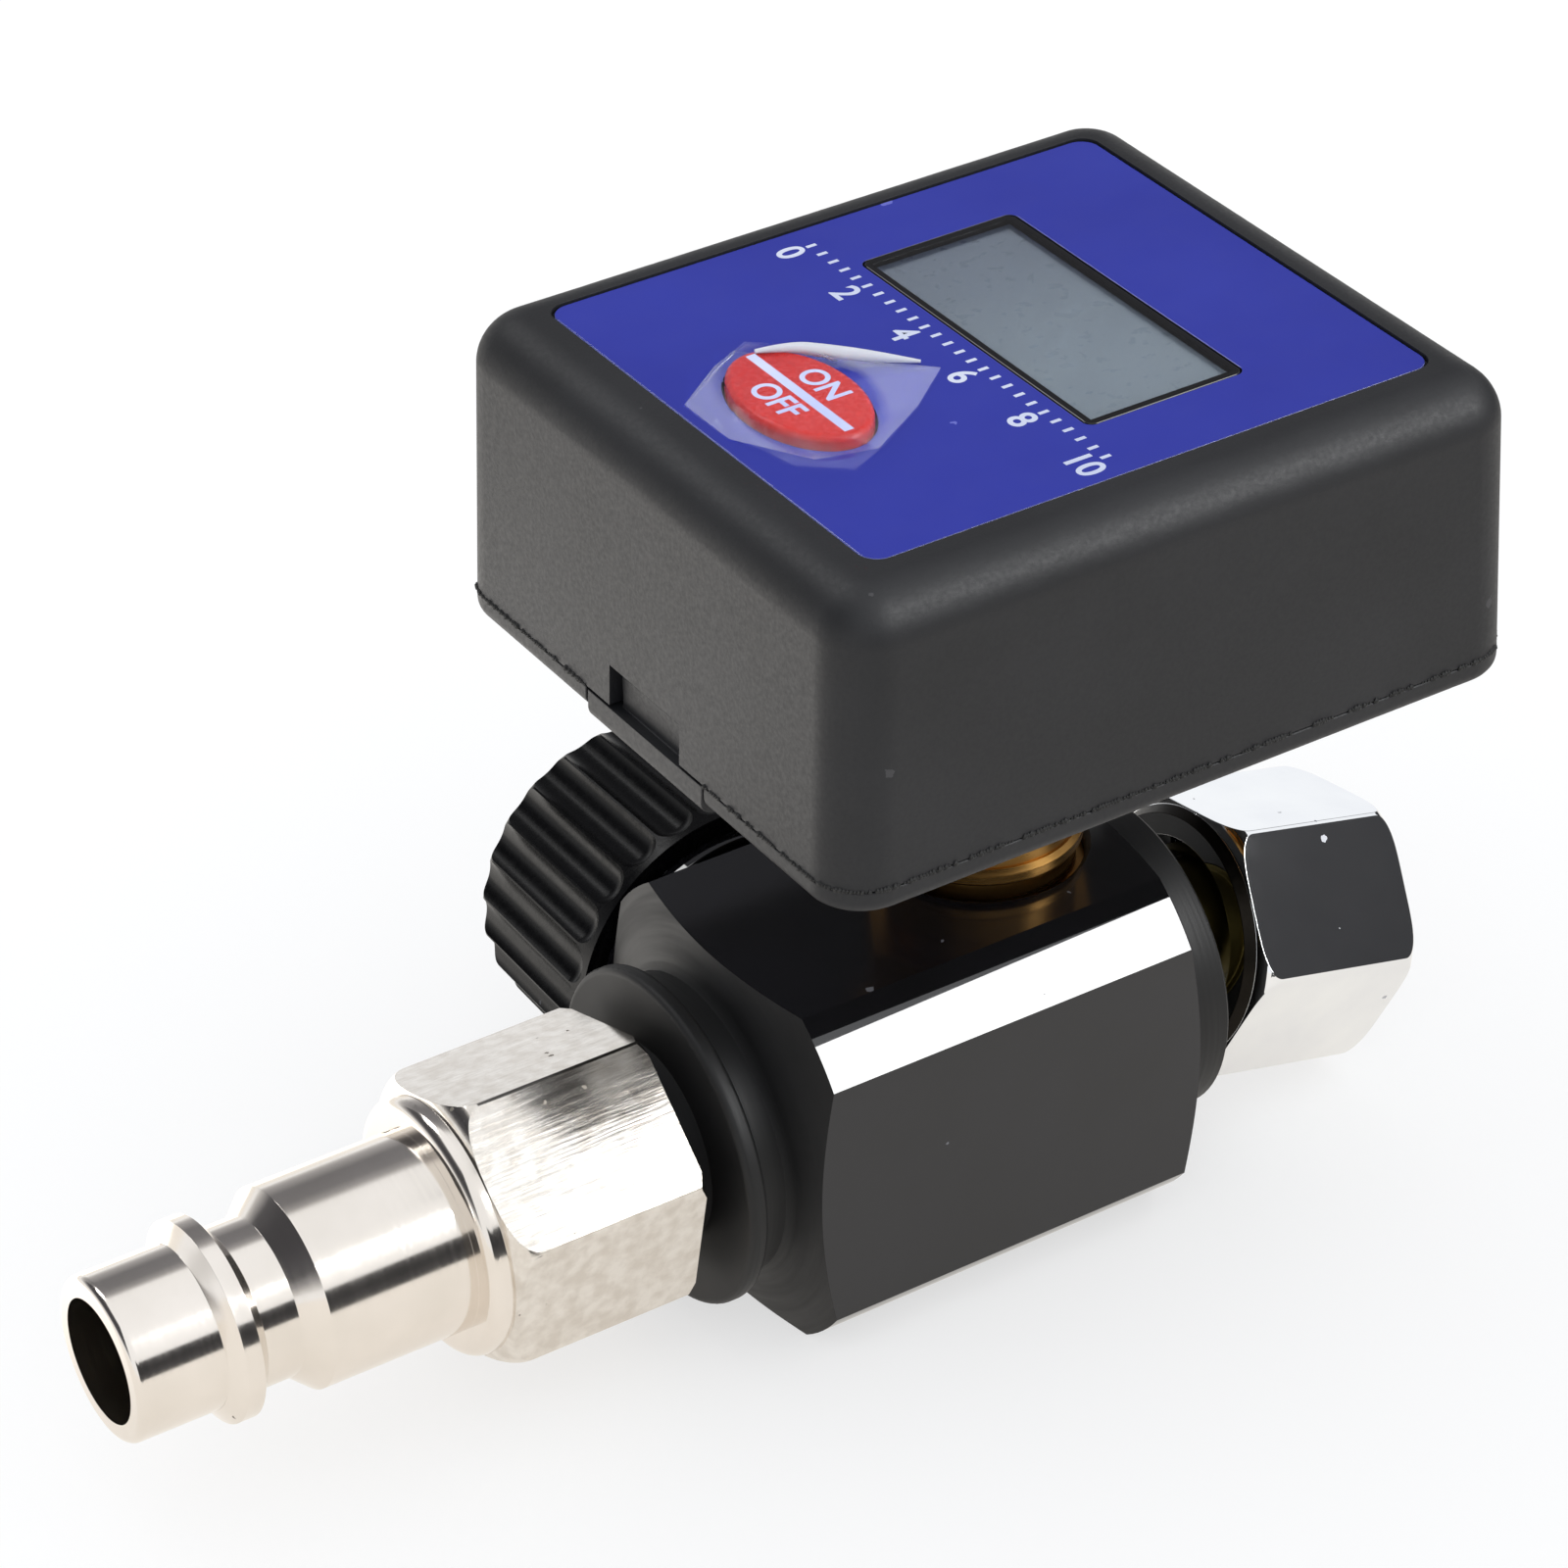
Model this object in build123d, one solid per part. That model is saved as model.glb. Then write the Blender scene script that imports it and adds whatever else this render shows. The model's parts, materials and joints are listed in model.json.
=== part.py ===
from build123d import *

import os
from math import atan2, cos, degrees, hypot, radians, sin, tan

os.makedirs("parts", exist_ok=True)

# Digital air pressure regulator, all sizes in millimetres.
# +X is the way the air flows, +Z is up, and the origin is the middle of the flat that the body stands on.

# Working clearances
RUNNING_FIT = 0.05  # radial, round a turning or sliding journal
SEATED_GAP = 0.06  # radial, round a screwed or pressed piece
MOULD_GAP = 0.15  # between plastic pieces that meet
EASY_GAP = 0.3  # between pieces that only pass each other
OVERCUT = 1.0  # how far a cutter runs past the face that it opens

# Regulator body, turned from round bar and milled with four flats
BAR_D = 30.0
BODY_AF = 24.4
BLOCK_L = 26.6
END_CONE_DEG = 19.0
GROOVE_D = 19.8
GROOVE_L = 2.4
CONE_FOOT_D = 20.8
FLANGE_D = 22.2
FLANGE_T = 1.3
FLANGE_EDGE_R = 0.45
COLLAR_D = 21.4
COLLAR_L = 3.0
COLLAR_EDGE = 0.25
PORT_D = 13.16  # outside of a G 1/4 thread, used for the inlet stub, the gauge port and the outlet nut
STUB_L = 12.1
FLOW_BORE_D = 6.5
STUB_EDGE = 0.8

# Valve axis, square to the flow, where the knob stands
VALVE_X = -4.5
CHAMBER_D = 11.0
CHAMBER_DEPTH = 12.2  # from the back flat to the seat's land
SEAT_POCKET_D = 9.0
SEAT_T = 2.6
SEAT_BORE_D = 3.6
SEAT_RING_T = 0.5
SPRING_POCKET_D = 7.0
SPRING_POCKET_L = 7.0
CROSS_PASSAGE_D = 3.0
CROSS_PASSAGE_REACH = 1.8
INLET_WEB = 2.5
POPPET_HEAD_D = 5.6
POPPET_HEAD_T = 2.4
POPPET_STEM_D = 1.8
POPPET_WIRE_D = 0.5
POPPET_COIL_D = 4.4
POPPET_COILS = 4.5
PISTON_LAND = 2.0
PISTON_L = 5.0
RING_SECTION = 1.7
RING_FROM_FACE = 3.0
SEAT_SEAL_SECTION = 0.9

# Bonnet and adjuster
BONNET_THREAD_D = 16.0
BONNET_THREAD_L = 3.8
BOSS_D = 20.2
BOSS_T = 1.3
BONNET_TUBE_D = 15.6
BONNET_TUBE_L = 9.7
BONNET_END_T = 2.0
SPRING_BORE_D = 11.2
NUT_FLATS = 10.0
SCREW_D = 5.0
SCREW_FLANGE_D = 8.0
SCREW_FLANGE_T = 1.3
DRIVE_FLATS = 3.8
DRIVE_L = 1.7
SPRING_NUT_T = 3.4
SPRING_NUT_TRAVEL = 3.0
CONTROL_WIRE_D = 1.2
CONTROL_COIL_D = 8.2
CONTROL_COILS = 4.0

# Knob
KNOB_D = 22.2
KNOB_L = 13.85
KNOB_DRAFT_DEG = 1.3
KNOB_END_R = 1.2
KNOB_SKIRT_L = 1.9
KNOB_GAP = 0.2
FLUTES = 24
FLUTE_R = 1.75
FLUTE_DEPTH = 0.75
KNOB_SCREW_D = 2.4
KNOB_SCREW_HEAD_D = 4.8
KNOB_SCREW_HEAD_T = 1.2
KNOB_SCREW_L = 6.2
KNOB_SCREW_HEX = 2.0
KNOB_SCREW_HEX_L = 0.7
KNOB_SCREW_SUNK = 0.1

# Inlet nipple, a 7.2 mm bore quick-coupling plug
NIPPLE_AF = 17.0
NIPPLE_HEX_L = 13.3
NIPPLE_HEX_TURN = 42.0
NIPPLE_HEX_ROUND = 1.8
NIPPLE_HEX_EDGE = 0.4
NIPPLE_GAP = 1.97
NOSE_D = 10.6
NOSE_L = 5.8
NOSE_EDGE_R = 0.55
NOSE_BORE_D = 8.0
RIB_D = 12.95
RIB_CREST_L = 1.1
RIB_FRONT_L = 0.75
RIB_BACK_L = 0.9
NECK_D = 10.3
NECK_L = 2.35
SHOULDER_CONE_L = 1.45
SHAFT_D = 13.0
SHAFT_L = 9.8
DOME_D = 16.7
DOME_L = 1.25
DOME_EDGE_R = 0.85
NIPPLE_TIP_D = 19.5
NIPPLE_THREAD_L = 12.6

# Outlet tail and swivel nut; the nut hangs loose on the tail and droops as far as the table lets it
TAIL_THREAD_D = 9.73  # outside of a G 1/8 thread
TAIL_THREAD_L = 8.6
TAIL_SHANK_D = 8.8
TAIL_HEAD_D = 11.4
TAIL_HEAD_L = 0.8
TAIL_HEAD_BACK_L = 1.0
TAIL_HEAD_PLAY = 1.0
TAIL_NOSE_L = 0.8
TAIL_NOSE_D = 6.8
TAIL_BORE_D = 5.0
NUT_AF = 17.0
NUT_L = 13.4
NUT_FROM_COLLAR = 2.8
NUT_DROOP_DEG = 13.5
NUT_HEX_TURN = 51.2
NUT_TIP_D = 19.5
NUT_HEX_ROUND = 1.2
NUT_BAND_L = 0.65
NUT_BAND_D = 16.8
NUT_END_D = 15.8
NUT_LIP_D = 10.6
NUT_LIP_T = 2.2
NUT_MOUTH_D = 13.0
NUT_MOUTH_L = 1.1
NUT_RELIEF_D = 14.4
NUT_RELIEF_L = 4.5

# Gauge: its place over the port, and its case
GAUGE_X = 6.5
GAUGE_Y = 1.0
GAUGE_RISE = 15.4  # from the top flat to the underside of the rear cover
CASE_W = 49.2
CASE_D = 43.5
CASE_H = 18.8
CASE_DRAFT_X_DEG = 2.2
CASE_DRAFT_Y_DEG = 0.8
CASE_CORNER_R = 3.5
CASE_TOP_R = 3.3
CASE_WALL = 2.0
COVER_T = 1.7
COVER_EDGE_R = 0.9
SEAM_GAP = 0.1
LIP_T = 1.2
LIP_H = 1.8
LABEL_MARGIN_X = 4.7
LABEL_MARGIN_Y = 4.2
LABEL_X = 0.4
LABEL_Y = 0.35
LABEL_CORNER_R = 1.3
LABEL_T = 0.3
LABEL_RECESS = 0.4

# Display, button and window in the label
VIEW_W = 11.35
VIEW_D = 24.0
VIEW_FROM_EDGE = 15.32  # from the label's right edge to the middle of the display
VIEW_Y = 0.3
VIEW_CORNER_R = 0.6
PANE_T = 0.9
LCD_EDGE = 0.9
LCD_PLATE_T = 1.1
STRIP_W = 1.6
BUTTON_W = 7.2
BUTTON_D = 11.7
BUTTON_FROM_EDGE = 6.4  # from the label's left edge to the middle of the button
BUTTON_Y = -0.1
BUTTON_PROUD = 0.7
BUTTON_TRAVEL = 0.4
BUTTON_FLANGE = 0.9
BUTTON_FLANGE_T = 0.7
BUTTON_CROWN_R = 0.45
SWITCH_SIDE = 6.0
SWITCH_H = 1.6
PLUNGER_D = 3.0
FILM_T = 0.12
FILM_OVER = 0.1
FILM_CROWN_W = 8.2
FILM_CROWN_D = 13.2
FILM_POINT_L = 9.2  # the loose point that lies towards the display
FILM_SIDE_L = 5.6
FILM_BACK_L = 7.4
FILM_FRONT_L = 6.9
FILM_TURN_DEG = 6.0

# Circuit board and fixings in the case
BOARD_INSET = 3.1
BOARD_T = 1.2
BOARD_BELOW_ROOF = 4.5
BOSS_INSET = 5.0
BOSS_R = 2.5
CASE_SCREW_D = 2.0
CASE_SCREW_L = 7.0
CASE_SCREW_HEAD_D = 3.8
CASE_SCREW_HEAD_T = 1.0
SCREW_CORE = 0.85

# Cells and battery door
CELL_D = 11.6
CELL_T = 5.4
CELL_INSET = 9.7
CELL_Y = -0.3
CELL_WELL_WALL = 0.8
CONTACT_T = 0.3
DOOR_W = 12.9
DOOR_L = 15.4
DOOR_PROUD = 0.6
WINDOW_W = 7.8
WINDOW_H = 2.8
LATCH_T = 0.9
LATCH_SET_BACK = 0.8

# Gauge stem and pressure cell
PORT_DEPTH = 5.2
PORT_CHAMFER = 0.35
PORT_JET_D = 3.0
STEM_NECK_D = 12.0
STEM_RING_D = 12.9
STEM_RING_L = 1.2
STEM_NECK_L = 0.7
STEM_HEX_RISE = 5.6
STEM_HEX_AF = 14.0
STEM_HEX_L = 6.0
STEM_FLANGE_D = 16.0
STEM_FLANGE_T = 1.0
STEM_TOP_D = 10.0
STEM_BORE_D = 3.0
STEM_NUT_AF = 14.0
STEM_NUT_T = 2.4
SENSOR_D = 11.6
SENSOR_H = 5.0

# Levels and places that follow from the sizes above
AXIS_Z = BODY_AF / 2
BODY_TOP = BODY_AF
BACK_FLAT = BODY_AF / 2
BLOCK_END = BLOCK_L / 2
CONE_RUN = tan(radians(END_CONE_DEG))
INLET_CONE_FOOT = -BLOCK_END - (BAR_D - CONE_FOOT_D) / 2 * CONE_RUN
FLANGE_BACK = INLET_CONE_FOOT - GROOVE_L
FLANGE_FACE = FLANGE_BACK - FLANGE_T
STUB_END = FLANGE_FACE - STUB_L
COLLAR_FOOT = BLOCK_END + (BAR_D - COLLAR_D) / 2 * CONE_RUN
COLLAR_END = COLLAR_FOOT + COLLAR_L
SEAT_LAND = BACK_FLAT - CHAMBER_DEPTH
POCKET_FLOOR = SEAT_LAND - SEAT_T - SPRING_POCKET_L
BOSS_FACE = BACK_FLAT + BOSS_T
BONNET_END = BOSS_FACE + BONNET_TUBE_L
KNOB_FACE = BOSS_FACE + KNOB_GAP
KNOB_END = KNOB_FACE + KNOB_L
PISTON_FOOT = SEAT_LAND + PISTON_LAND
PISTON_CROWN = PISTON_FOOT + PISTON_L
SCREW_SHOULDER = BONNET_END - BONNET_END_T - RUNNING_FIT
NUT_REST = SCREW_SHOULDER - SCREW_FLANGE_T - RUNNING_FIT - SPRING_NUT_T
DRIVE_FOOT = BONNET_END + KNOB_GAP
DRIVE_END = DRIVE_FOOT + DRIVE_L
KNOB_SCREW_SEAT = KNOB_END - KNOB_SCREW_SUNK - KNOB_SCREW_HEAD_T
NIPPLE_HEX_END = FLANGE_FACE - NIPPLE_GAP
NIPPLE_HEX_START = NIPPLE_HEX_END - NIPPLE_HEX_L
NUT_X = COLLAR_END + NUT_FROM_COLLAR
COVER_BOTTOM = BODY_TOP + GAUGE_RISE
SEAM_Z = COVER_BOTTOM + COVER_T
CASE_TOP = SEAM_Z + CASE_H
ROOF_Z = CASE_TOP - CASE_WALL
LABEL_TOP = CASE_TOP - LABEL_RECESS + LABEL_T
BOARD_TOP = ROOF_Z - BOARD_BELOW_ROOF + BOARD_T
BOARD_BOTTOM = BOARD_TOP - BOARD_T
LCD_STEP = ROOF_Z - SEAM_GAP
LCD_BOTTOM = LCD_STEP - LCD_PLATE_T
PANE_FOOT = LABEL_TOP - PANE_T
PLUNGER_TOP = BOARD_TOP + SWITCH_H + BUTTON_TRAVEL + RUNNING_FIT
BUTTON_TOP = CASE_TOP + BUTTON_PROUD
PORT_FLOOR = BODY_TOP - PORT_DEPTH
CELL_FLOOR = COVER_BOTTOM + COVER_T + CONTACT_T + MOULD_GAP
CELL_STACK_TOP = CELL_FLOOR + 2 * CELL_T + SEAM_GAP
LABEL_W = CASE_W - 2 * LABEL_MARGIN_X
LABEL_D = CASE_D - 2 * LABEL_MARGIN_Y
VIEW_X = LABEL_X + LABEL_W / 2 - VIEW_FROM_EDGE
BUTTON_X = LABEL_X - LABEL_W / 2 + BUTTON_FROM_EDGE
BOARD_W = CASE_W - 2 * BOARD_INSET
BOARD_D = CASE_D - 2 * BOARD_INSET
BOSS_X = CASE_W / 2 - BOSS_INSET
BOSS_Y = CASE_D / 2 - BOSS_INSET
CELL_X = CELL_INSET - CASE_W / 2

# Frames: local Z runs along the flow, along the valve axis, or up through the gauge
FLOW = Pos(0, 0, AXIS_Z) * Rot(0, 90, 0)
VALVE = Pos(VALVE_X, 0, AXIS_Z) * Rot(-90, 0, 0)
PORT = Pos(GAUGE_X, GAUGE_Y, 0)
CASE = Pos(GAUGE_X, GAUGE_Y, 0)
DROOP = Pos(NUT_X, 0, AXIS_Z) * Rot(0, NUT_DROOP_DEG, 0) * Rot(0, 90, 0)


def turned(stations, rounds=()):
    """Solid of revolution about local Z through (radius, height) stations, with (station, radius) rounds."""
    outline = [(0, stations[0][1]), *stations, (0, stations[-1][1])]
    profile = make_face(Polyline(*outline, close=True))
    for station, radius in rounds:
        corner = profile.vertices().sort_by_distance((*station, 0))[0]
        profile = fillet(corner, radius)
    return revolve(Plane.XZ * profile, Axis.Z)


def rod(diameter, start, end):
    """Round bar on local Z between two heights."""
    return Pos(0, 0, (start + end) / 2) * Cylinder(diameter / 2, abs(end - start))


def tube(outside, inside, start, end):
    """Round tube on local Z between two heights."""
    return rod(outside, start, end) - rod(inside, start - OVERCUT, end + OVERCUT)


def hex_bar(across_flats, start, end, turn_deg):
    """Hexagonal bar on local Z, with a corner at the given turn."""
    outline = RegularPolygon(across_flats / 2, 6, major_radius=False, rotation=turn_deg)
    return extrude(Pos(0, 0, start) * outline, end - start)


def flow_hex_turn(turn_deg):
    """Turn in the flow frame of a hexagon corner measured from +Y towards +Z."""
    return 90 + turn_deg


def seal_ring(mean_diameter, section, height):
    """O-ring of round section about local Z."""
    return Pos(0, 0, height) * Torus(mean_diameter / 2, section / 2)


def coil_spring(wire, coil_diameter, coils, start, end):
    """Open coil spring about local Z, with its wire centred inside the two end planes."""
    low = start + wire / 2
    rise = end - start - wire
    path = Helix(pitch=rise / coils, height=rise, radius=coil_diameter / 2, center=(0, 0, low))
    section = Plane(origin=path @ 0, z_dir=path % 0) * Circle(wire / 2)
    return sweep(section, path=path, is_frenet=True)


def case_section(inset, corner, height):
    """Rounded rectangle that follows the case's outside at a height, drawn in by an inset."""
    rise = height - COVER_BOTTOM
    width = CASE_W - 2 * (inset + rise * tan(radians(CASE_DRAFT_X_DEG)))
    depth = CASE_D - 2 * (inset + rise * tan(radians(CASE_DRAFT_Y_DEG)))
    return Pos(0, 0, height) * RectangleRounded(width, depth, corner)


def case_block(inset, corner, low, high):
    """Solid between two heights that follows the case's drafts, drawn in by an inset."""
    return loft([case_section(inset, corner, low), case_section(inset, corner, high)])


def block(low, high, x_span, y_span):
    """Plain box between two heights and two spans in plan."""
    size_x = x_span[1] - x_span[0]
    size_y = y_span[1] - y_span[0]
    return Pos(x_span[0], y_span[0], low) * Box(size_x, size_y, high - low, align=Align.MIN)


def body_envelope():
    """Everything on the body that the lathe makes, before the four flats are milled."""
    stub_r = PORT_D / 2 - SEATED_GAP
    flange_r = FLANGE_D / 2
    groove_r = GROOVE_D / 2
    foot_r = CONE_FOOT_D / 2
    bar_r = BAR_D / 2
    collar_r = COLLAR_D / 2
    cove = (CONE_FOOT_D - GROOVE_D) / 2
    stations = [
        (stub_r - STUB_EDGE, STUB_END),
        (stub_r, STUB_END + STUB_EDGE),
        (stub_r, FLANGE_FACE),
        (flange_r, FLANGE_FACE),
        (flange_r, FLANGE_BACK),
        (groove_r, FLANGE_BACK),
        (groove_r, INLET_CONE_FOOT - cove),
        (foot_r, INLET_CONE_FOOT),
        (bar_r, -BLOCK_END),
        (bar_r, BLOCK_END),
        (collar_r, COLLAR_FOOT),
        (collar_r, COLLAR_END - COLLAR_EDGE),
        (collar_r - COLLAR_EDGE, COLLAR_END),
    ]
    rounds = [((flange_r, FLANGE_FACE), FLANGE_EDGE_R), ((flange_r, FLANGE_BACK), FLANGE_EDGE_R)]
    return FLOW * turned(stations, rounds)


def milled_flats():
    """Square prism that leaves the four flats and the narrow round corners between them."""
    length = 2 * (COLLAR_END - STUB_END)
    return Pos(0, 0, AXIS_Z) * Box(length, BODY_AF, BODY_AF)


def cross_passage():
    """Slanted drilling from the inlet bore under the seat into the spring pocket."""
    start_x = VALVE_X - CHAMBER_D / 2 - INLET_WEB - CROSS_PASSAGE_D / 2
    end_x = VALVE_X
    start_y = -CROSS_PASSAGE_REACH
    end_y = POCKET_FLOOR + SPRING_POCKET_L / 5
    length = hypot(end_x - start_x, end_y - start_y)
    heading = degrees(atan2(end_y - start_y, end_x - start_x))
    drill = Cylinder(CROSS_PASSAGE_D / 2, length, align=(Align.CENTER, Align.CENTER, Align.MIN))
    return Pos(start_x, start_y, AXIS_Z) * Rot(0, 0, heading) * Rot(0, 90, 0) * drill


def body_bores():
    """Every bore in the body: flow, valve, bonnet, gauge port and outlet thread."""
    inlet_end = VALVE_X - CHAMBER_D / 2 - INLET_WEB
    outlet_start = VALVE_X + CHAMBER_D / 2 - EASY_GAP
    inlet = FLOW * rod(FLOW_BORE_D, STUB_END - OVERCUT, inlet_end)
    outlet = FLOW * rod(FLOW_BORE_D, outlet_start, COLLAR_END + OVERCUT)
    tail_thread = FLOW * rod(TAIL_THREAD_D, COLLAR_END - TAIL_THREAD_L, COLLAR_END + OVERCUT)
    valve = turned(
        [
            (SPRING_POCKET_D / 2, POCKET_FLOOR),
            (SPRING_POCKET_D / 2, SEAT_LAND - SEAT_T),
            (SEAT_POCKET_D / 2, SEAT_LAND - SEAT_T),
            (SEAT_POCKET_D / 2, SEAT_LAND),
            (CHAMBER_D / 2, SEAT_LAND),
            (CHAMBER_D / 2, BACK_FLAT - BONNET_THREAD_L),
            (BONNET_THREAD_D / 2, BACK_FLAT - BONNET_THREAD_L),
            (BONNET_THREAD_D / 2, BACK_FLAT + OVERCUT),
        ]
    )
    port = turned(
        [
            (PORT_JET_D / 2, AXIS_Z),
            (PORT_JET_D / 2, PORT_FLOOR),
            (PORT_D / 2, PORT_FLOOR),
            (PORT_D / 2, BODY_TOP - PORT_CHAMFER),
            (PORT_D / 2 + PORT_CHAMFER, BODY_TOP),
            (PORT_D / 2 + PORT_CHAMFER, BODY_TOP + OVERCUT),
        ]
    )
    return inlet + outlet + tail_thread + VALVE * valve + PORT * port + cross_passage()


def make_regulator_body():
    """Body of the regulator, one piece from the inlet stub to the outlet collar."""
    return (body_envelope() & milled_flats()) - body_bores()


def make_inlet_nipple():
    """Quick-coupling plug with its nose, rib, groove, shoulder, shaft and hexagon."""
    nose_r = NOSE_D / 2
    rib_r = RIB_D / 2
    neck_r = NECK_D / 2
    shaft_r = SHAFT_D / 2
    dome_r = DOME_D / 2
    tip_r = NIPPLE_TIP_D / 2
    dome_start = NIPPLE_HEX_START - DOME_L
    shaft_start = dome_start - SHAFT_L
    neck_end = shaft_start - SHOULDER_CONE_L
    neck_start = neck_end - NECK_L
    crest_end = neck_start - RIB_BACK_L
    crest_start = crest_end - RIB_CREST_L
    nose_end = crest_start - RIB_FRONT_L
    tip = nose_end - NOSE_L
    shank = turned(
        [
            (nose_r, tip),
            (nose_r, nose_end),
            (rib_r, crest_start),
            (rib_r, crest_end),
            (neck_r, neck_start),
            (neck_r, neck_end),
            (shaft_r, shaft_start),
            (shaft_r, dome_start),
            (dome_r, dome_start),
            (dome_r, NIPPLE_HEX_START + NIPPLE_HEX_ROUND),
        ],
        [((nose_r, tip), NOSE_EDGE_R), ((dome_r, dome_start), DOME_EDGE_R)],
    )
    turned_corners = turned(
        [
            (tip_r, NIPPLE_HEX_START),
            (tip_r, NIPPLE_HEX_END - NIPPLE_HEX_EDGE),
            (tip_r - NIPPLE_HEX_EDGE, NIPPLE_HEX_END),
        ],
        [((tip_r, NIPPLE_HEX_START), NIPPLE_HEX_ROUND)],
    )
    hexagon = hex_bar(NIPPLE_AF, NIPPLE_HEX_START, NIPPLE_HEX_END, flow_hex_turn(NIPPLE_HEX_TURN))
    bore = rod(NOSE_BORE_D, tip - OVERCUT, NIPPLE_HEX_END)
    thread = rod(PORT_D, NIPPLE_HEX_END - NIPPLE_THREAD_L, NIPPLE_HEX_END + OVERCUT)
    return FLOW * (shank + (hexagon & turned_corners) - bore - thread)


def make_outlet_tail():
    """Brass tail, screwed into the body, whose head holds the swivel nut."""
    thread_r = TAIL_THREAD_D / 2 - SEATED_GAP
    shank_r = TAIL_SHANK_D / 2
    head_r = TAIL_HEAD_D / 2
    head_start = NUT_X + NUT_LIP_T + TAIL_HEAD_PLAY
    head_full = head_start + TAIL_HEAD_BACK_L
    head_end = head_full + TAIL_HEAD_L
    outer = [
        (thread_r, COLLAR_END - TAIL_THREAD_L + SEATED_GAP),
        (thread_r, COLLAR_END),
        (shank_r, COLLAR_END),
        (shank_r, head_start),
        (head_r, head_full),
        (head_r, head_end),
        (TAIL_NOSE_D / 2, head_end + TAIL_NOSE_L),
    ]
    bore = rod(TAIL_BORE_D, COLLAR_END - TAIL_THREAD_L - OVERCUT, head_end + TAIL_NOSE_L + OVERCUT)
    return FLOW * (turned(outer) - bore)


def make_outlet_nut():
    """Chromed swivel nut, turned at both ends, hanging a little askew on the tail."""
    tip_r = NUT_TIP_D / 2
    turned_corners = turned(
        [(NUT_END_D / 2, 0), (NUT_BAND_D / 2, NUT_BAND_L), (tip_r, NUT_BAND_L), (tip_r, NUT_L)],
        [((tip_r, NUT_BAND_L), NUT_HEX_ROUND), ((tip_r, NUT_L), NUT_HEX_ROUND)],
    )
    shell = hex_bar(NUT_AF, 0, NUT_L, flow_hex_turn(NUT_HEX_TURN)) & turned_corners
    inside = turned(
        [
            (NUT_MOUTH_D / 2, -OVERCUT),
            (NUT_MOUTH_D / 2, 0),
            (NUT_LIP_D / 2, NUT_MOUTH_L),
            (NUT_LIP_D / 2, NUT_LIP_T),
            (NUT_RELIEF_D / 2, NUT_LIP_T),
            (NUT_RELIEF_D / 2, NUT_LIP_T + NUT_RELIEF_L),
            (PORT_D / 2, NUT_LIP_T + NUT_RELIEF_L),
            (PORT_D / 2, NUT_L + OVERCUT),
        ]
    )
    return DROOP * (shell - inside)


def make_valve_seat():
    """Seat disc with a raised ring that the poppet closes on, and a groove for its seal."""
    seat_r = SEAT_POCKET_D / 2 - SEATED_GAP
    ring_foot = SEAT_LAND - SEAT_T + SEATED_GAP
    ring_r = SEAT_BORE_D / 2 + SEAT_RING_T
    disc = turned(
        [
            (ring_r, ring_foot),
            (ring_r, ring_foot + SEAT_RING_T),
            (seat_r, ring_foot + SEAT_RING_T),
            (seat_r, SEAT_LAND),
        ]
    )
    bore = rod(SEAT_BORE_D, ring_foot - OVERCUT, SEAT_LAND + OVERCUT)
    groove_r = seat_r - SEAT_SEAL_SECTION
    middle = SEAT_LAND - SEAT_T / 2 + SEAT_RING_T / 2
    half = SEAT_SEAL_SECTION / 2 + SEATED_GAP
    groove = rod(SEAT_POCKET_D + OVERCUT, middle - half, middle + half) - rod(
        2 * groove_r, middle - half, middle + half
    )
    return VALVE * (disc - bore - groove)


def make_seat_seal():
    """Seal round the seat disc."""
    middle = SEAT_LAND - SEAT_T / 2 + SEAT_RING_T / 2
    mean = SEAT_POCKET_D - SEAT_SEAL_SECTION - 2 * SEATED_GAP
    return VALVE * seal_ring(mean, SEAT_SEAL_SECTION - SEATED_GAP, middle)


def make_poppet():
    """Poppet with its rubber-faced head under the seat and its stem up to the piston."""
    head_top = SEAT_LAND - SEAT_T
    head_low = head_top - POPPET_HEAD_T
    guide_d = POPPET_COIL_D - POPPET_WIRE_D - 2 * EASY_GAP
    stem = rod(POPPET_STEM_D, head_top, PISTON_FOOT - RUNNING_FIT)
    guide = rod(guide_d, head_low - POPPET_HEAD_T / 2, head_low)
    return VALVE * (rod(POPPET_HEAD_D, head_low, head_top) + stem + guide)


def make_poppet_spring():
    """Light spring that closes the poppet."""
    head_low = SEAT_LAND - SEAT_T - POPPET_HEAD_T
    return VALVE * coil_spring(
        POPPET_WIRE_D, POPPET_COIL_D, POPPET_COILS, POCKET_FLOOR + RUNNING_FIT, head_low - RUNNING_FIT
    )


def make_piston():
    """Sensing piston with a groove for its ring and a shallow cup for the control spring."""
    radius = CHAMBER_D / 2 - RUNNING_FIT
    groove_r = radius - RING_SECTION
    groove_mid = PISTON_FOOT + RING_FROM_FACE
    half = RING_SECTION / 2 + RUNNING_FIT
    groove = tube(CHAMBER_D + OVERCUT, 2 * groove_r, groove_mid - half, groove_mid + half)
    cup = rod(CONTROL_COIL_D + CONTROL_WIRE_D + EASY_GAP, PISTON_CROWN - half, PISTON_CROWN + OVERCUT)
    pip = rod(CONTROL_COIL_D - CONTROL_WIRE_D - 2 * EASY_GAP, PISTON_CROWN - half, PISTON_CROWN)
    return VALVE * (rod(2 * radius, PISTON_FOOT, PISTON_CROWN) - groove - (cup - pip))


def make_piston_ring():
    """Rubber ring round the piston."""
    section = RING_SECTION - 2 * RUNNING_FIT
    mean = CHAMBER_D - 2 * RUNNING_FIT - RING_SECTION
    return VALVE * seal_ring(mean, section, PISTON_FOOT + RING_FROM_FACE)


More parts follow.
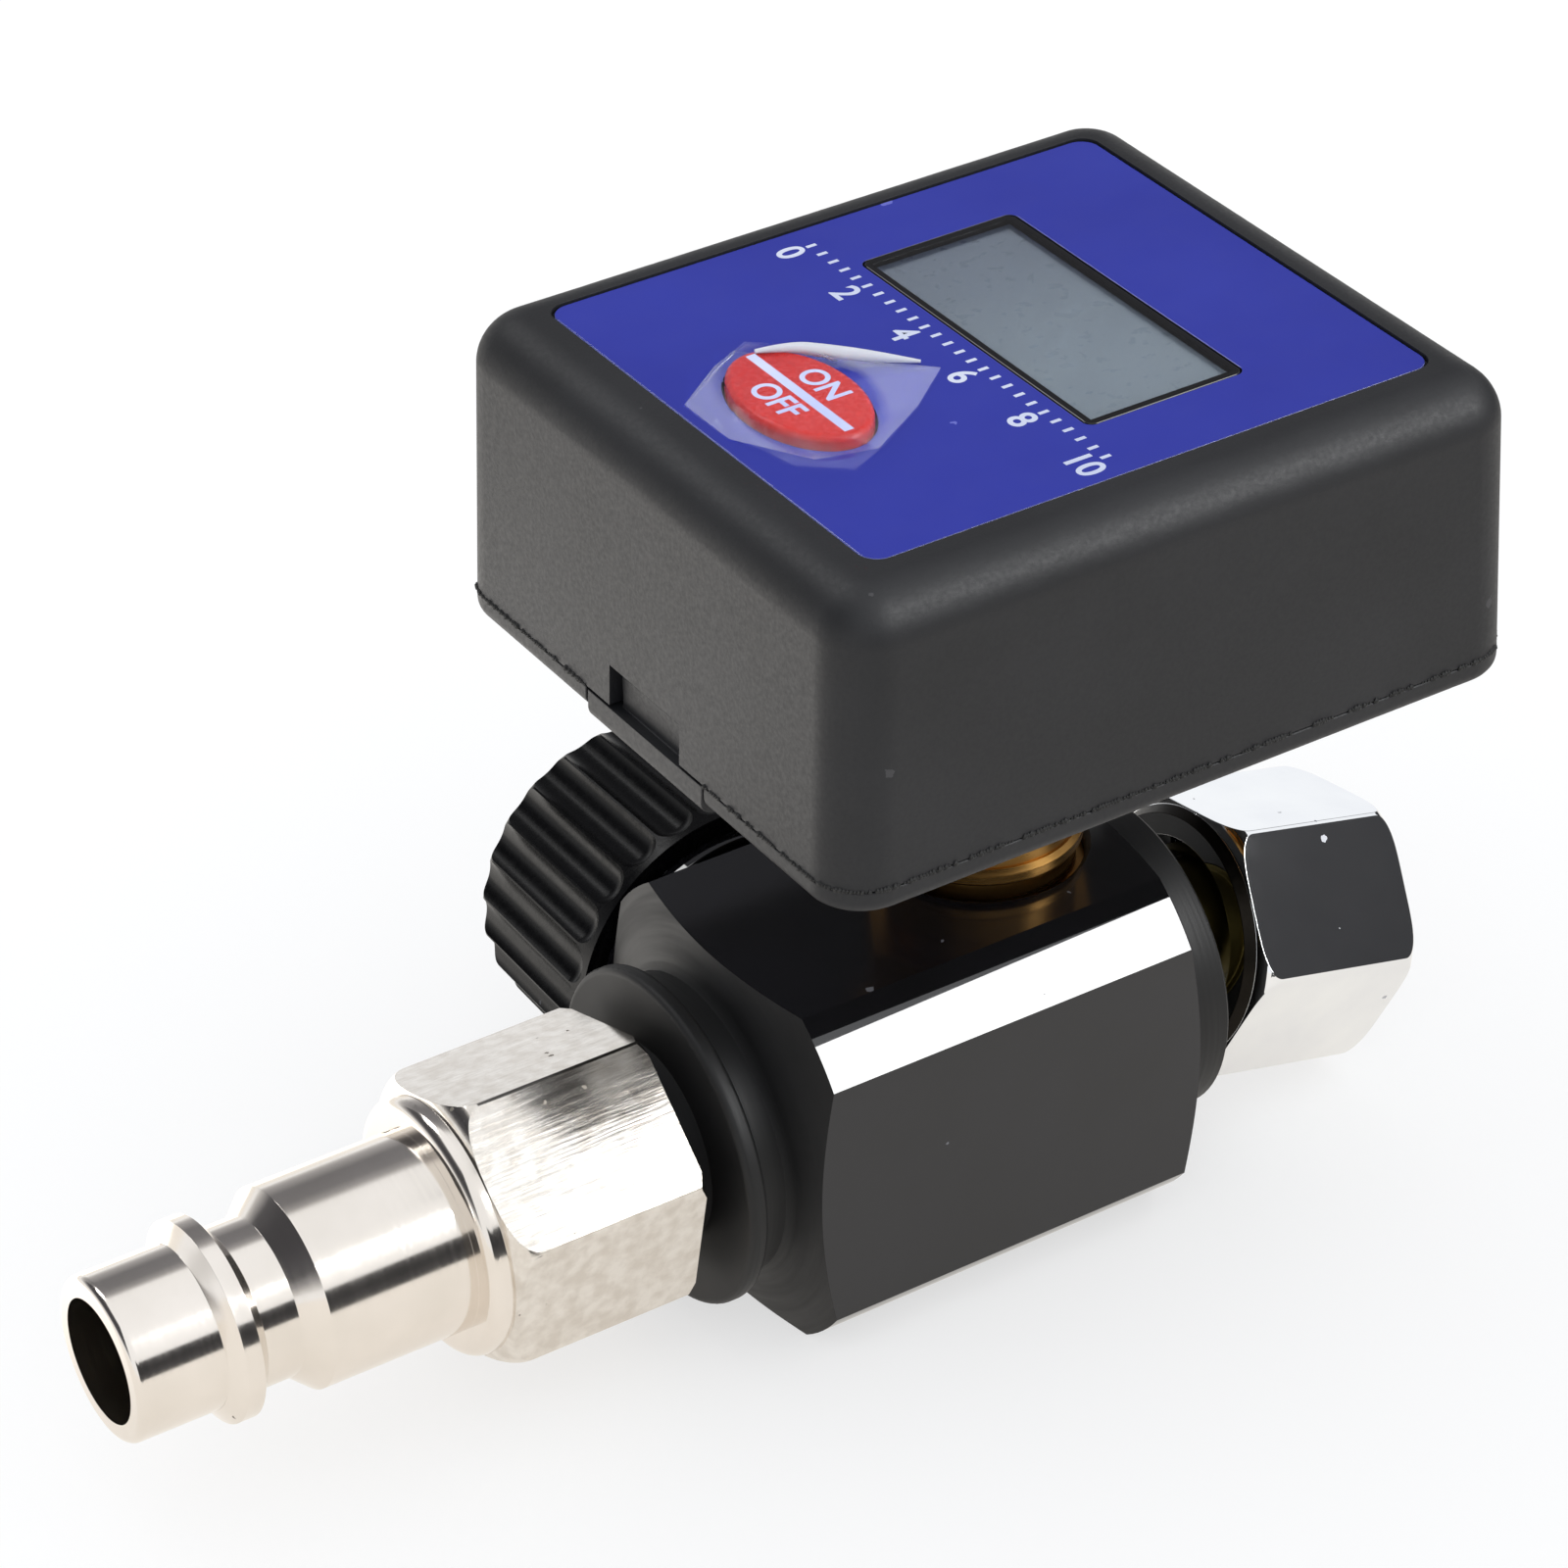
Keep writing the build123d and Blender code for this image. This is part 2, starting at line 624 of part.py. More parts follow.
def make_control_spring():
    """Spring between the piston and the travelling nut, which sets the outlet pressure."""
    seat = PISTON_CROWN - RING_SECTION / 2 - RUNNING_FIT
    return VALVE * coil_spring(
        CONTROL_WIRE_D, CONTROL_COIL_D, CONTROL_COILS, seat + RUNNING_FIT, NUT_REST - RUNNING_FIT
    )


def flatted_disc(diameter, across, low, high):
    """Disc with two flats, used for the travelling nut and for the way that stops it turning."""
    height = high - low
    flats = Pos(0, 0, low + height / 2) * Box(diameter + OVERCUT, across, height)
    return rod(diameter, low, high) & flats


def make_spring_nut():
    """Nut that the adjusting screw drives along the bonnet; its flats stop it turning."""
    disc = flatted_disc(
        SPRING_BORE_D - 2 * RUNNING_FIT,
        NUT_FLATS - 2 * RUNNING_FIT,
        NUT_REST,
        NUT_REST + SPRING_NUT_T,
    )
    bore = rod(SCREW_D + 2 * RUNNING_FIT, NUT_REST - OVERCUT, NUT_REST + SPRING_NUT_T + OVERCUT)
    return VALVE * (disc - bore)


def make_bonnet():
    """Bonnet, screwed into the back flat, with its boss, its tube and the flatted way inside."""
    thread_r = BONNET_THREAD_D / 2 - SEATED_GAP
    foot = BACK_FLAT - BONNET_THREAD_L + SEATED_GAP
    outer = turned(
        [
            (thread_r, foot),
            (thread_r, BACK_FLAT),
            (BOSS_D / 2, BACK_FLAT),
            (BOSS_D / 2, BOSS_FACE - COLLAR_EDGE),
            (BOSS_D / 2 - COLLAR_EDGE, BOSS_FACE),
            (BONNET_TUBE_D / 2, BOSS_FACE),
            (BONNET_TUBE_D / 2, BONNET_END),
        ]
    )
    way_start = NUT_REST - SPRING_NUT_TRAVEL - EASY_GAP
    way_end = BONNET_END - BONNET_END_T
    spring_room = rod(SPRING_BORE_D, foot - OVERCUT, way_start)
    way = flatted_disc(SPRING_BORE_D, NUT_FLATS, way_start, way_end)
    journal = rod(SCREW_D + 2 * RUNNING_FIT, way_end - OVERCUT, BONNET_END + OVERCUT)
    return VALVE * (outer - spring_room - way - journal)


def drive_section(across, low, high):
    """Square drive between the screw and the knob."""
    return Pos(0, 0, (low + high) / 2) * Box(across, across, high - low)


def make_adjusting_screw():
    """Screw with a thrust flange inside the bonnet and a square drive in the knob."""
    foot = NUT_REST - SPRING_NUT_TRAVEL - SCREW_D / 4
    thread = rod(SCREW_D, foot, SCREW_SHOULDER - SCREW_FLANGE_T)
    flange = rod(SCREW_FLANGE_D, SCREW_SHOULDER - SCREW_FLANGE_T, SCREW_SHOULDER)
    journal = rod(SCREW_D, SCREW_SHOULDER, DRIVE_FOOT)
    drive = drive_section(DRIVE_FLATS, DRIVE_FOOT, DRIVE_END)
    tapping = rod(KNOB_SCREW_D + 2 * SEATED_GAP, DRIVE_END - KNOB_SCREW_L, DRIVE_END)
    return VALVE * (thread + flange + journal + drive - tapping)


def flute_cutters():
    """Round cutters that leave sharp ridges between the flutes, running out above the skirt."""
    start = KNOB_FACE + KNOB_SKIRT_L
    offset = KNOB_D / 2 - FLUTE_DEPTH + FLUTE_R
    cutter = rod(2 * FLUTE_R, start, KNOB_END + OVERCUT)
    lead_in = Pos(0, 0, start) * Sphere(FLUTE_R)
    tilt = Pos(offset, 0, start) * Rot(0, -KNOB_DRAFT_DEG, 0) * Pos(0, 0, -start)
    one = tilt * (cutter + lead_in)
    return [Rot(0, 0, 360 * n / FLUTES) * one for n in range(FLUTES)]


def make_adjusting_knob():
    """Fluted knob over the bonnet tube, with a plain skirt next to the body."""
    outer_r = KNOB_D / 2
    end_r = outer_r - (KNOB_END - KNOB_FACE) * tan(radians(KNOB_DRAFT_DEG))
    shape = turned(
        [(outer_r, KNOB_FACE), (outer_r, KNOB_FACE + KNOB_SKIRT_L), (end_r, KNOB_END)],
        [((end_r, KNOB_END), KNOB_END_R)],
    )
    for cutter in flute_cutters():
        shape -= cutter
    cavity = rod(BONNET_TUBE_D + 2 * EASY_GAP, KNOB_FACE - OVERCUT, DRIVE_FOOT)
    socket = drive_section(DRIVE_FLATS + 2 * SEATED_GAP, DRIVE_FOOT - OVERCUT, DRIVE_END + SEATED_GAP)
    shank = rod(KNOB_SCREW_D + 2 * SEATED_GAP, DRIVE_END, KNOB_END + OVERCUT)
    head = rod(KNOB_SCREW_HEAD_D + 2 * SEATED_GAP, KNOB_SCREW_SEAT - SEATED_GAP, KNOB_END + OVERCUT)
    return VALVE * (shape - cavity - socket - shank - head)


def make_knob_screw():
    """Socket screw that holds the knob on the adjusting screw."""
    head_end = KNOB_SCREW_SEAT + KNOB_SCREW_HEAD_T
    shank = rod(KNOB_SCREW_D, KNOB_SCREW_SEAT - KNOB_SCREW_L, KNOB_SCREW_SEAT)
    head = rod(KNOB_SCREW_HEAD_D, KNOB_SCREW_SEAT, head_end)
    socket = hex_bar(KNOB_SCREW_HEX, head_end - KNOB_SCREW_HEX_L, head_end + OVERCUT, 0)
    return VALVE * (shank + head - socket)


def make_gauge_stem():
    """Brass stem from the body's port to the gauge, with its hexagon and clamping flange."""
    thread_r = PORT_D / 2 - SEATED_GAP
    neck_top = BODY_TOP + STEM_NECK_L
    ring_top = neck_top + STEM_RING_L
    hex_foot = BODY_TOP + STEM_HEX_RISE
    flange_low = COVER_BOTTOM - STEM_FLANGE_T
    stem_top = SEAM_Z + STEM_NUT_T + EASY_GAP
    edge = STEM_RING_L / 4
    outer = turned(
        [
            (thread_r, PORT_FLOOR + SEATED_GAP),
            (thread_r, BODY_TOP - STEM_RING_L),
            (STEM_NECK_D / 2, BODY_TOP - STEM_RING_L),
            (STEM_NECK_D / 2, neck_top),
            (STEM_RING_D / 2 - edge, neck_top),
            (STEM_RING_D / 2, neck_top + edge),
            (STEM_RING_D / 2, ring_top - edge),
            (STEM_RING_D / 2 - edge, ring_top),
            (STEM_NECK_D / 2, ring_top),
            (STEM_NECK_D / 2, flange_low),
            (STEM_FLANGE_D / 2, flange_low),
            (STEM_FLANGE_D / 2, COVER_BOTTOM),
            (STEM_TOP_D / 2, COVER_BOTTOM),
            (STEM_TOP_D / 2, stem_top),
        ]
    )
    hexagon = hex_bar(STEM_HEX_AF, hex_foot, hex_foot + STEM_HEX_L, 0)
    bore = rod(STEM_BORE_D, PORT_FLOOR - OVERCUT, stem_top + OVERCUT)
    return PORT * (outer + hexagon - bore)


def make_stem_nut():
    """Thin nut that clamps the rear cover on the stem."""
    nut = hex_bar(STEM_NUT_AF, SEAM_Z, SEAM_Z + STEM_NUT_T, 30)
    bore = rod(STEM_TOP_D + 2 * SEATED_GAP, SEAM_Z - OVERCUT, SEAM_Z + STEM_NUT_T + OVERCUT)
    return PORT * (nut - bore)


def make_pressure_sensor():
    """Round pressure cell on the stem's end, with three pins up to the board."""
    foot = SEAM_Z + STEM_NUT_T + EASY_GAP
    top = foot + SENSOR_H
    can = turned(
        [
            (SENSOR_D / 2, foot),
            (SENSOR_D / 2, foot + SENSOR_H / 3),
            (SENSOR_D / 2 - OVERCUT, foot + SENSOR_H / 3),
            (SENSOR_D / 2 - OVERCUT, top),
        ]
    )
    pins = Sketch() + [
        Rot(0, 0, 120 * n) * Pos(SENSOR_D / 5, 0, 0) * Circle(PORT_CHAMFER) for n in range(3)
    ]
    return PORT * (can + extrude(Pos(0, 0, top) * pins, BOARD_BOTTOM - SEATED_GAP - top))


def boss_places():
    """Places of the four screw bosses, about the gauge's centre."""
    return [Pos(x, y, 0) for x in (-BOSS_X, BOSS_X) for y in (-BOSS_Y, BOSS_Y)]


def label_outline(margin):
    """Label's outline, widened by a margin."""
    outline = RectangleRounded(LABEL_W + 2 * margin, LABEL_D + 2 * margin, LABEL_CORNER_R)
    return Pos(LABEL_X, LABEL_Y, 0) * outline


def view_block(margin, low, high):
    """Upright block with the outline of the display's window, widened by a margin."""
    outline = RectangleRounded(VIEW_W + 2 * margin, VIEW_D + 2 * margin, VIEW_CORNER_R)
    return extrude(Pos(VIEW_X, VIEW_Y, low) * outline, high - low)


def button_post(margin, low, high):
    """Upright oval post at the button's place, widened by a margin."""
    outline = Ellipse(BUTTON_W / 2 + margin, BUTTON_D / 2 + margin)
    return extrude(Pos(BUTTON_X, BUTTON_Y, low) * outline, high - low)


def latch_way(margin):
    """Gap in the case's wall, the cover's lip and the cell well for the door's latch and contact."""
    x_span = (-CASE_W / 2 - OVERCUT, CELL_X)
    y_span = (CELL_Y - WINDOW_W / 2 - margin, CELL_Y + WINDOW_W / 2 + margin)
    return block(SEAM_Z - SEAM_GAP, SEAM_Z + WINDOW_H + margin, x_span, y_span)


def door_spans(gap):
    """Plan spans of the door, widened by a gap."""
    x_span = (-CASE_W / 2 - OVERCUT, -CASE_W / 2 + DOOR_L + gap)
    y_span = (CELL_Y - DOOR_W / 2 - gap, CELL_Y + DOOR_W / 2 + gap)
    return x_span, y_span


def make_front_case():
    """Front half of the gauge case: drafted walls, deep top round, label recess and bosses."""
    outer = case_block(0, CASE_CORNER_R, SEAM_Z, CASE_TOP)
    outer = fillet(outer.edges().group_by(Axis.Z)[-1], CASE_TOP_R)
    shell = outer - case_block(CASE_WALL, CASE_CORNER_R - CASE_WALL, SEAM_Z, ROOF_Z)
    for place in boss_places():
        shell += place * rod(2 * BOSS_R, SEAM_Z + LIP_H, ROOF_Z)
        shell -= place * rod(2 * SCREW_CORE, SEAM_Z, SEAM_Z + CASE_SCREW_L)
    recess_floor = CASE_TOP - LABEL_RECESS
    shell -= extrude(Pos(0, 0, recess_floor) * label_outline(MOULD_GAP), LABEL_RECESS + OVERCUT)
    shell -= view_block(0, ROOF_Z - OVERCUT, CASE_TOP + OVERCUT)
    shell -= button_post(MOULD_GAP, ROOF_Z - OVERCUT, CASE_TOP + OVERCUT)
    wall_side = block(SEAM_Z - OVERCUT, CASE_TOP, (-CASE_W, -CASE_W / 2 + 2 * CASE_WALL), (-CASE_D, CASE_D))
    return CASE * (shell - (latch_way(0) & wall_side))


def make_rear_cover():
    """Rear cover: rounded lower edge, locating lip, cell well and the notch for the door."""
    top = SEAM_Z - SEAM_GAP
    lip_top = SEAM_Z + LIP_H - MOULD_GAP
    plate = case_block(0, CASE_CORNER_R, COVER_BOTTOM, top)
    plate = fillet(plate.edges().group_by(Axis.Z)[0], COVER_EDGE_R)
    lip_inset = CASE_WALL + MOULD_GAP
    lip = case_block(lip_inset, CASE_CORNER_R - CASE_WALL, top, lip_top)
    lip -= case_block(lip_inset + LIP_T, CASE_CORNER_R - CASE_WALL, top, lip_top)
    cover = plate + lip
    cell_place = Pos(CELL_X, CELL_Y, 0)
    well_d = CELL_D + 2 * EASY_GAP
    cover += cell_place * rod(well_d + 2 * CELL_WELL_WALL, top, CELL_STACK_TOP)
    for place in boss_places():
        cover += place * rod(2 * BOSS_R, top, lip_top)
        cover -= place * rod(CASE_SCREW_D + 2 * MOULD_GAP, COVER_BOTTOM, lip_top + OVERCUT)
        head_d = CASE_SCREW_HEAD_D + 2 * MOULD_GAP
        cover -= place * rod(head_d, COVER_BOTTOM - OVERCUT, COVER_BOTTOM + CASE_SCREW_HEAD_T)
    cover -= cell_place * rod(well_d, COVER_BOTTOM - OVERCUT, CELL_STACK_TOP + OVERCUT)
    x_span, y_span = door_spans(MOULD_GAP)
    cover -= block(COVER_BOTTOM - OVERCUT, top, x_span, y_span)
    cover -= latch_way(0)
    cover -= rod(STEM_TOP_D + 2 * SEATED_GAP, COVER_BOTTOM - OVERCUT, SEAM_Z + OVERCUT)
    return CASE * cover


def make_case_screws():
    """Four self-tapping screws through the rear cover into the bosses."""
    head_low = COVER_BOTTOM + SEATED_GAP
    head_top = COVER_BOTTOM + CASE_SCREW_HEAD_T
    one = rod(CASE_SCREW_HEAD_D, head_low, head_top)
    one += rod(2 * SCREW_CORE - 2 * SEATED_GAP, head_top, SEAM_Z + CASE_SCREW_L - EASY_GAP)
    one -= Pos(0, 0, head_low) * Box(CASE_SCREW_HEAD_D / 2, CASE_SCREW_HEAD_T / 3, CASE_SCREW_HEAD_T)
    one -= Pos(0, 0, head_low) * Box(CASE_SCREW_HEAD_T / 3, CASE_SCREW_HEAD_D / 2, CASE_SCREW_HEAD_T)
    return Compound(children=[CASE * place * one for place in boss_places()])


def make_battery_door():
    """Battery door in the cover's edge, a little proud, with the latch seen in the case's window."""
    x_span, y_span = door_spans(0)
    door_low = COVER_BOTTOM - DOOR_PROUD
    door_top = SEAM_Z - 2 * SEAM_GAP
    footprint = case_block(0, CASE_CORNER_R, door_low, door_top)
    plate = footprint & block(door_low, door_top, x_span, y_span)
    outer_edge = plate.edges().filter_by(Axis.Y).group_by(Axis.Z)[0].sort_by(Axis.X)[0]
    plate = fillet(outer_edge, COVER_EDGE_R)
    latch_x = -CASE_W / 2 + LATCH_SET_BACK
    latch_low = door_top - COVER_T / 2
    latch_top = SEAM_Z + WINDOW_H - EASY_GAP
    latch_y = (CELL_Y - WINDOW_W / 2 + EASY_GAP, CELL_Y + WINDOW_W / 2 - EASY_GAP)
    latch = block(latch_low, latch_top, (latch_x, latch_x + LATCH_T), latch_y)
    tip = latch.edges().filter_by(Axis.Y).group_by(Axis.Z)[-1].sort_by(Axis.X)[0]
    latch = chamfer(tip, LATCH_T / 2)
    grip_x = (x_span[1] - DOOR_L / 2, x_span[1] - DOOR_L / 4)
    grip_y = (CELL_Y - DOOR_W / 4, CELL_Y + DOOR_W / 4)
    grip = block(door_low - OVERCUT, door_low + DOOR_PROUD / 2, grip_x, grip_y)
    return CASE * (plate + latch - grip)


def make_coin_cells():
    """Two button cells, one on the other, each with its stepped cap."""
    cells = []
    for n in range(2):
        foot = CELL_FLOOR + n * (CELL_T + SEAM_GAP)
        cap_r = CELL_D / 2 - CELL_T / 6
        can = turned(
            [
                (cap_r, foot),
                (cap_r, foot + CELL_T / 8),
                (CELL_D / 2, foot + CELL_T / 8),
                (CELL_D / 2, foot + CELL_T),
            ]
        )
        cells.append(CASE * Pos(CELL_X, CELL_Y, 0) * can)
    return Compound(children=cells)


def make_door_contact():
    """Contact ring on the door, under the lower cell."""
    low = SEAM_Z - 2 * SEAM_GAP
    return CASE * Pos(CELL_X, CELL_Y, 0) * tube(CELL_D / 2, CELL_D / 4, low, low + CONTACT_T)


def make_board_contact():
    """Contact under the board that bears on the upper cell."""
    low = CELL_STACK_TOP + SEATED_GAP
    foot = rod(CELL_D / 2, low, low + CONTACT_T)
    post = rod(CELL_D / 6, low + CONTACT_T, BOARD_BOTTOM)
    return CASE * Pos(CELL_X, CELL_Y, 0) * (foot + post)


def make_circuit_board():
    """Circuit board, notched round the bosses, hung under the case's roof."""
    outline = Rectangle(BOARD_W, BOARD_D)
    for place in boss_places():
        outline -= place * Circle(BOSS_R + EASY_GAP)
    return CASE * extrude(Pos(0, 0, BOARD_BOTTOM) * outline, BOARD_T)


def lcd_spans():
    """Plan spans of the display's lower plate, which reaches under the roof all round."""
    x_span = (VIEW_X - VIEW_W / 2 - LCD_EDGE, VIEW_X + VIEW_W / 2 + LCD_EDGE)
    y_span = (VIEW_Y - VIEW_D / 2 - LCD_EDGE, VIEW_Y + VIEW_D / 2 + LCD_EDGE)
    return x_span, y_span


def make_lcd_panel():
    """Display glass, its lower plate under the roof and its upper plate up in the case's opening."""
    lower = block(LCD_BOTTOM, LCD_STEP, *lcd_spans())
    return CASE * (lower + view_block(-EASY_GAP, LCD_STEP, PANE_FOOT - SEATED_GAP))


def make_lcd_connectors():
    """Two rubber contact strips between the board and the display."""
    x_span, y_span = lcd_spans()
    left = block(BOARD_TOP, LCD_BOTTOM, (x_span[0], x_span[0] + STRIP_W), y_span)
    right = block(BOARD_TOP, LCD_BOTTOM, (x_span[1] - STRIP_W, x_span[1]), y_span)
    return Compound(children=[CASE * left, CASE * right])


def make_face_label():
    """Printed face label in its recess, cut out for the display and the button."""
    low = CASE_TOP - LABEL_RECESS
    sheet = extrude(Pos(0, 0, low) * label_outline(0), LABEL_T)
    sheet -= view_block(0, low - OVERCUT, LABEL_TOP + OVERCUT)
    return CASE * (sheet - button_post(MOULD_GAP, low - OVERCUT, LABEL_TOP + OVERCUT))


def make_display_window():
    """Clear pane let into the label and the case over the display."""
    return CASE * view_block(-SEATED_GAP, PANE_FOOT, LABEL_TOP)


def make_reset_button():
    """Oval button through the label, with a flange under the roof and a pip over the switch."""
    flange_top = ROOF_Z - RUNNING_FIT
    flange_low = flange_top - BUTTON_FLANGE_T
    cap = button_post(0, flange_low, BUTTON_TOP)
    cap = fillet(cap.edges().group_by(Axis.Z)[-1], BUTTON_CROWN_R)
    flange = button_post(BUTTON_FLANGE, flange_low, flange_top)
    pip = Pos(BUTTON_X, BUTTON_Y, 0) * rod(PLUNGER_D, PLUNGER_TOP, flange_low)
    return CASE * (cap + flange + pip)


def make_tact_switch():
    """Square push switch on the board, under the button."""
    side = SWITCH_SIDE / 2
    box = block(BOARD_TOP, BOARD_TOP + SWITCH_H, (-side, side), (-side, side))
    hole = rod(PLUNGER_D + 2 * RUNNING_FIT, BOARD_TOP + SWITCH_H / 4, BOARD_TOP + SWITCH_H + OVERCUT)
    return CASE * Pos(BUTTON_X, BUTTON_Y, 0) * (box - hole)


def make_switch_plunger():
    """Plunger of the switch, which goes down with the button."""
    low = BOARD_TOP + SWITCH_H / 4 + BUTTON_TRAVEL + RUNNING_FIT
    return CASE * Pos(BUTTON_X, BUTTON_Y, 0) * rod(PLUNGER_D, low, PLUNGER_TOP)


def film_outline(inset, height):
    """Eight-sided outline that the film has on the label, drawn in by an inset."""
    point = FILM_POINT_L - inset
    side = FILM_SIDE_L - inset
    back = FILM_BACK_L - inset
    front = FILM_FRONT_L - inset
    corners = [
        (point, -front / 6),
        (point / 2, back / 2),
        (0, back),
        (-side, back / 2),
        (-side, -front / 6),
        (-side / 2, -front * 0.85),
        (side / 6, -front),
        (point * 0.6, -front * 0.6),
    ]
    return Pos(0, 0, height) * Polygon(*corners, align=None)


def film_crown(inset, height):
    """Eight-sided outline that the film has on top of the button, drawn in by an inset."""
    half_w = FILM_CROWN_W / 2 - inset
    half_d = FILM_CROWN_D / 2 - inset
    angles = [45 * n - FILM_TURN_DEG for n in range(8)]
    corners = [(half_w * cos(radians(a)), half_d * sin(radians(a))) for a in angles]
    return Pos(0, 0, height) * Polygon(*corners, align=None)


def film_tent(inset, drop):
    """Solid under the film, from its outline on the label to the crown over the button."""
    foot = LABEL_TOP + SEATED_GAP - drop
    crown = BUTTON_TOP + FILM_OVER + FILM_T - drop
    return loft([film_outline(inset, foot), film_crown(inset, crown)], ruled=True)


def make_button_film():
    """Thin protective film drawn over the button and down to the label, loose at its points."""
    film = film_tent(0, 0) - film_tent(FILM_T, FILM_T)
    return CASE * Pos(BUTTON_X, BUTTON_Y, 0) * film


MAKERS = {
    "regulator_body": make_regulator_body,
    "inlet_nipple": make_inlet_nipple,
    "outlet_tail": make_outlet_tail,
    "outlet_nut": make_outlet_nut,
    "valve_seat": make_valve_seat,
    "seat_seal": make_seat_seal,
    "poppet": make_poppet,
    "poppet_spring": make_poppet_spring,
    "piston": make_piston,
    "piston_ring": make_piston_ring,
    "control_spring": make_control_spring,
    "spring_nut": make_spring_nut,
    "bonnet": make_bonnet,
    "adjusting_screw": make_adjusting_screw,
    "adjusting_knob": make_adjusting_knob,
    "knob_screw": make_knob_screw,
    "gauge_stem": make_gauge_stem,
    "stem_nut": make_stem_nut,
    "pressure_sensor": make_pressure_sensor,
    "front_case": make_front_case,
    "rear_cover": make_rear_cover,
    "case_screws": make_case_screws,
    "battery_door": make_battery_door,
    "coin_cells": make_coin_cells,
    "door_contact": make_door_contact,
    "board_contact": make_board_contact,
    "circuit_board": make_circuit_board,
    "lcd_panel": make_lcd_panel,
    "lcd_connectors": make_lcd_connectors,
    "face_label": make_face_label,
    "display_window": make_display_window,
    "reset_button": make_reset_button,
    "tact_switch": make_tact_switch,
    "switch_plunger": make_switch_plunger,
    "button_film": make_button_film,
}

for name, maker in MAKERS.items():
    export_step(maker(), f"parts/{name}.step")
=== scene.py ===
"""Looks of a small air pressure regulator with a digital gauge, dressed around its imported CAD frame."""

import json
import logging
import math
from dataclasses import dataclass, field
from enum import Enum

import bmesh
import bpy
from mathutils import Matrix, Vector


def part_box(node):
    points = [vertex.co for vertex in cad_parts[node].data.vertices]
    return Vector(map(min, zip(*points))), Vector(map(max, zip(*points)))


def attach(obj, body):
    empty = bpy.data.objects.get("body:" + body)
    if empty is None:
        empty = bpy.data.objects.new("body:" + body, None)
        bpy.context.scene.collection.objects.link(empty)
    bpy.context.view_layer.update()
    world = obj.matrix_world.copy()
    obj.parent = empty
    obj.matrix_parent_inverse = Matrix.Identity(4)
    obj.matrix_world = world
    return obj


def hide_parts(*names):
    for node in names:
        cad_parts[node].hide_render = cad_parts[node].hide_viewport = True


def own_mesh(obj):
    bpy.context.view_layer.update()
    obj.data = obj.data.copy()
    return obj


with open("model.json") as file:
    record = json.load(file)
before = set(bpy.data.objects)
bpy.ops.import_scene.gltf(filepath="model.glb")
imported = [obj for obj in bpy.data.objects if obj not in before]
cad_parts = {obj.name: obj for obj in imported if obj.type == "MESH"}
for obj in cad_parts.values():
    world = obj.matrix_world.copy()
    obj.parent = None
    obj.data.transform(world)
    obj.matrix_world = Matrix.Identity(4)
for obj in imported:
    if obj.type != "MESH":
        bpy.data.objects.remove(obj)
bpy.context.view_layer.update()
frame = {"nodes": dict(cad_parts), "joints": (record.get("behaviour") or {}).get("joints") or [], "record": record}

MM = 0.001
UM = 0.000001
SEED = 11
LOG = logging.getLogger("regulator")

Hex = str
Point = tuple[float, float, float]
Span = tuple[float, float]
Nodes = bpy.types.NodeTree
Socket = bpy.types.NodeSocket
Settings = dict[str, object]

# Limits between which most values of a noise lie
GRAIN_LIMITS = (0.3, 0.7)
CLOUD_LIMITS = (0.35, 0.65)

# In copies of CAD nodes, how near points and how flat edges are joined, and how fine broken edges are
WELD_MM = 0.002
FLAT_DEG = 0.4
EDGE_SEGMENTS = 2


# Colour, nodes and meshes


def linear(colour: Hex) -> tuple[float, float, float, float]:
    """Turn an sRGB hex colour into linear light.

    Args:
        colour: Six hex digits after a hash.

    Returns:
        Red, green, blue and an alpha of one.
    """
    parts = [int(colour[start : start + 2], 16) / 255 for start in (1, 3, 5)]
    light = [c / 12.92 if c <= 0.04045 else ((c + 0.055) / 1.055) ** 2.4 for c in parts]
    return (*light, 1.0)


def feed(tree: Nodes, node: bpy.types.Node, **inputs: object) -> None:
    """Set or link a node's inputs.

    Args:
        tree: Node tree that has the node.
        node: The node.
        **inputs: Values, or sockets to link, by input name with underscores for spaces, or by _index.
    """
    for name, value in inputs.items():
        socket = node.inputs[int(name[1:])] if name.startswith("_") else node.inputs[name.replace("_", " ")]
        if isinstance(value, Socket):
            tree.links.new(value, socket)
        else:
            socket.default_value = value


def add(tree: Nodes, kind: str, settings: Settings | None = None, **inputs: object) -> bpy.types.Node:
    """Add a node with its settings and inputs.

    Args:
        tree: Node tree that gets the node.
        kind: Blender's type name of the node.
        settings: Attributes of the node, by name.
        **inputs: As feed takes them.

    Returns:
        The new node.
    """
    node = tree.nodes.new(kind)
    for name, value in (settings or {}).items():
        setattr(node, name, value)
    feed(tree, node, **inputs)
    return node


def reckon(tree: Nodes, operation: str, *terms: float | Socket) -> Socket:
    """Do a sum with a Math node, or a comparison that gives one or zero."""
    inputs = {f"_{n}": term for n, term in enumerate(terms)}
    return add(tree, "ShaderNodeMath", {"operation": operation}, **inputs).outputs[0]


def spread(
    tree: Nodes, value: Socket, limits: Span = (0, 1), onto: Span = (0, 1), smooth: bool = False
) -> Socket:
    """Map the values between two limits onto another span, evenly or with a smooth start and end."""
    ease = {"interpolation_type": "SMOOTHSTEP" if smooth else "LINEAR"}
    ends = {"_1": limits[0], "_2": limits[1], "_3": onto[0], "_4": onto[1]}
    return add(tree, "ShaderNodeMapRange", ease, _0=value, **ends).outputs[0]


def blend(tree: Nodes, share: float | Socket, first: object, second: object) -> Socket:
    """Mix two colours, with the second one's share."""
    return add(tree, "ShaderNodeMix", {"data_type": "RGBA"}, _0=share, _6=first, _7=second).outputs[2]


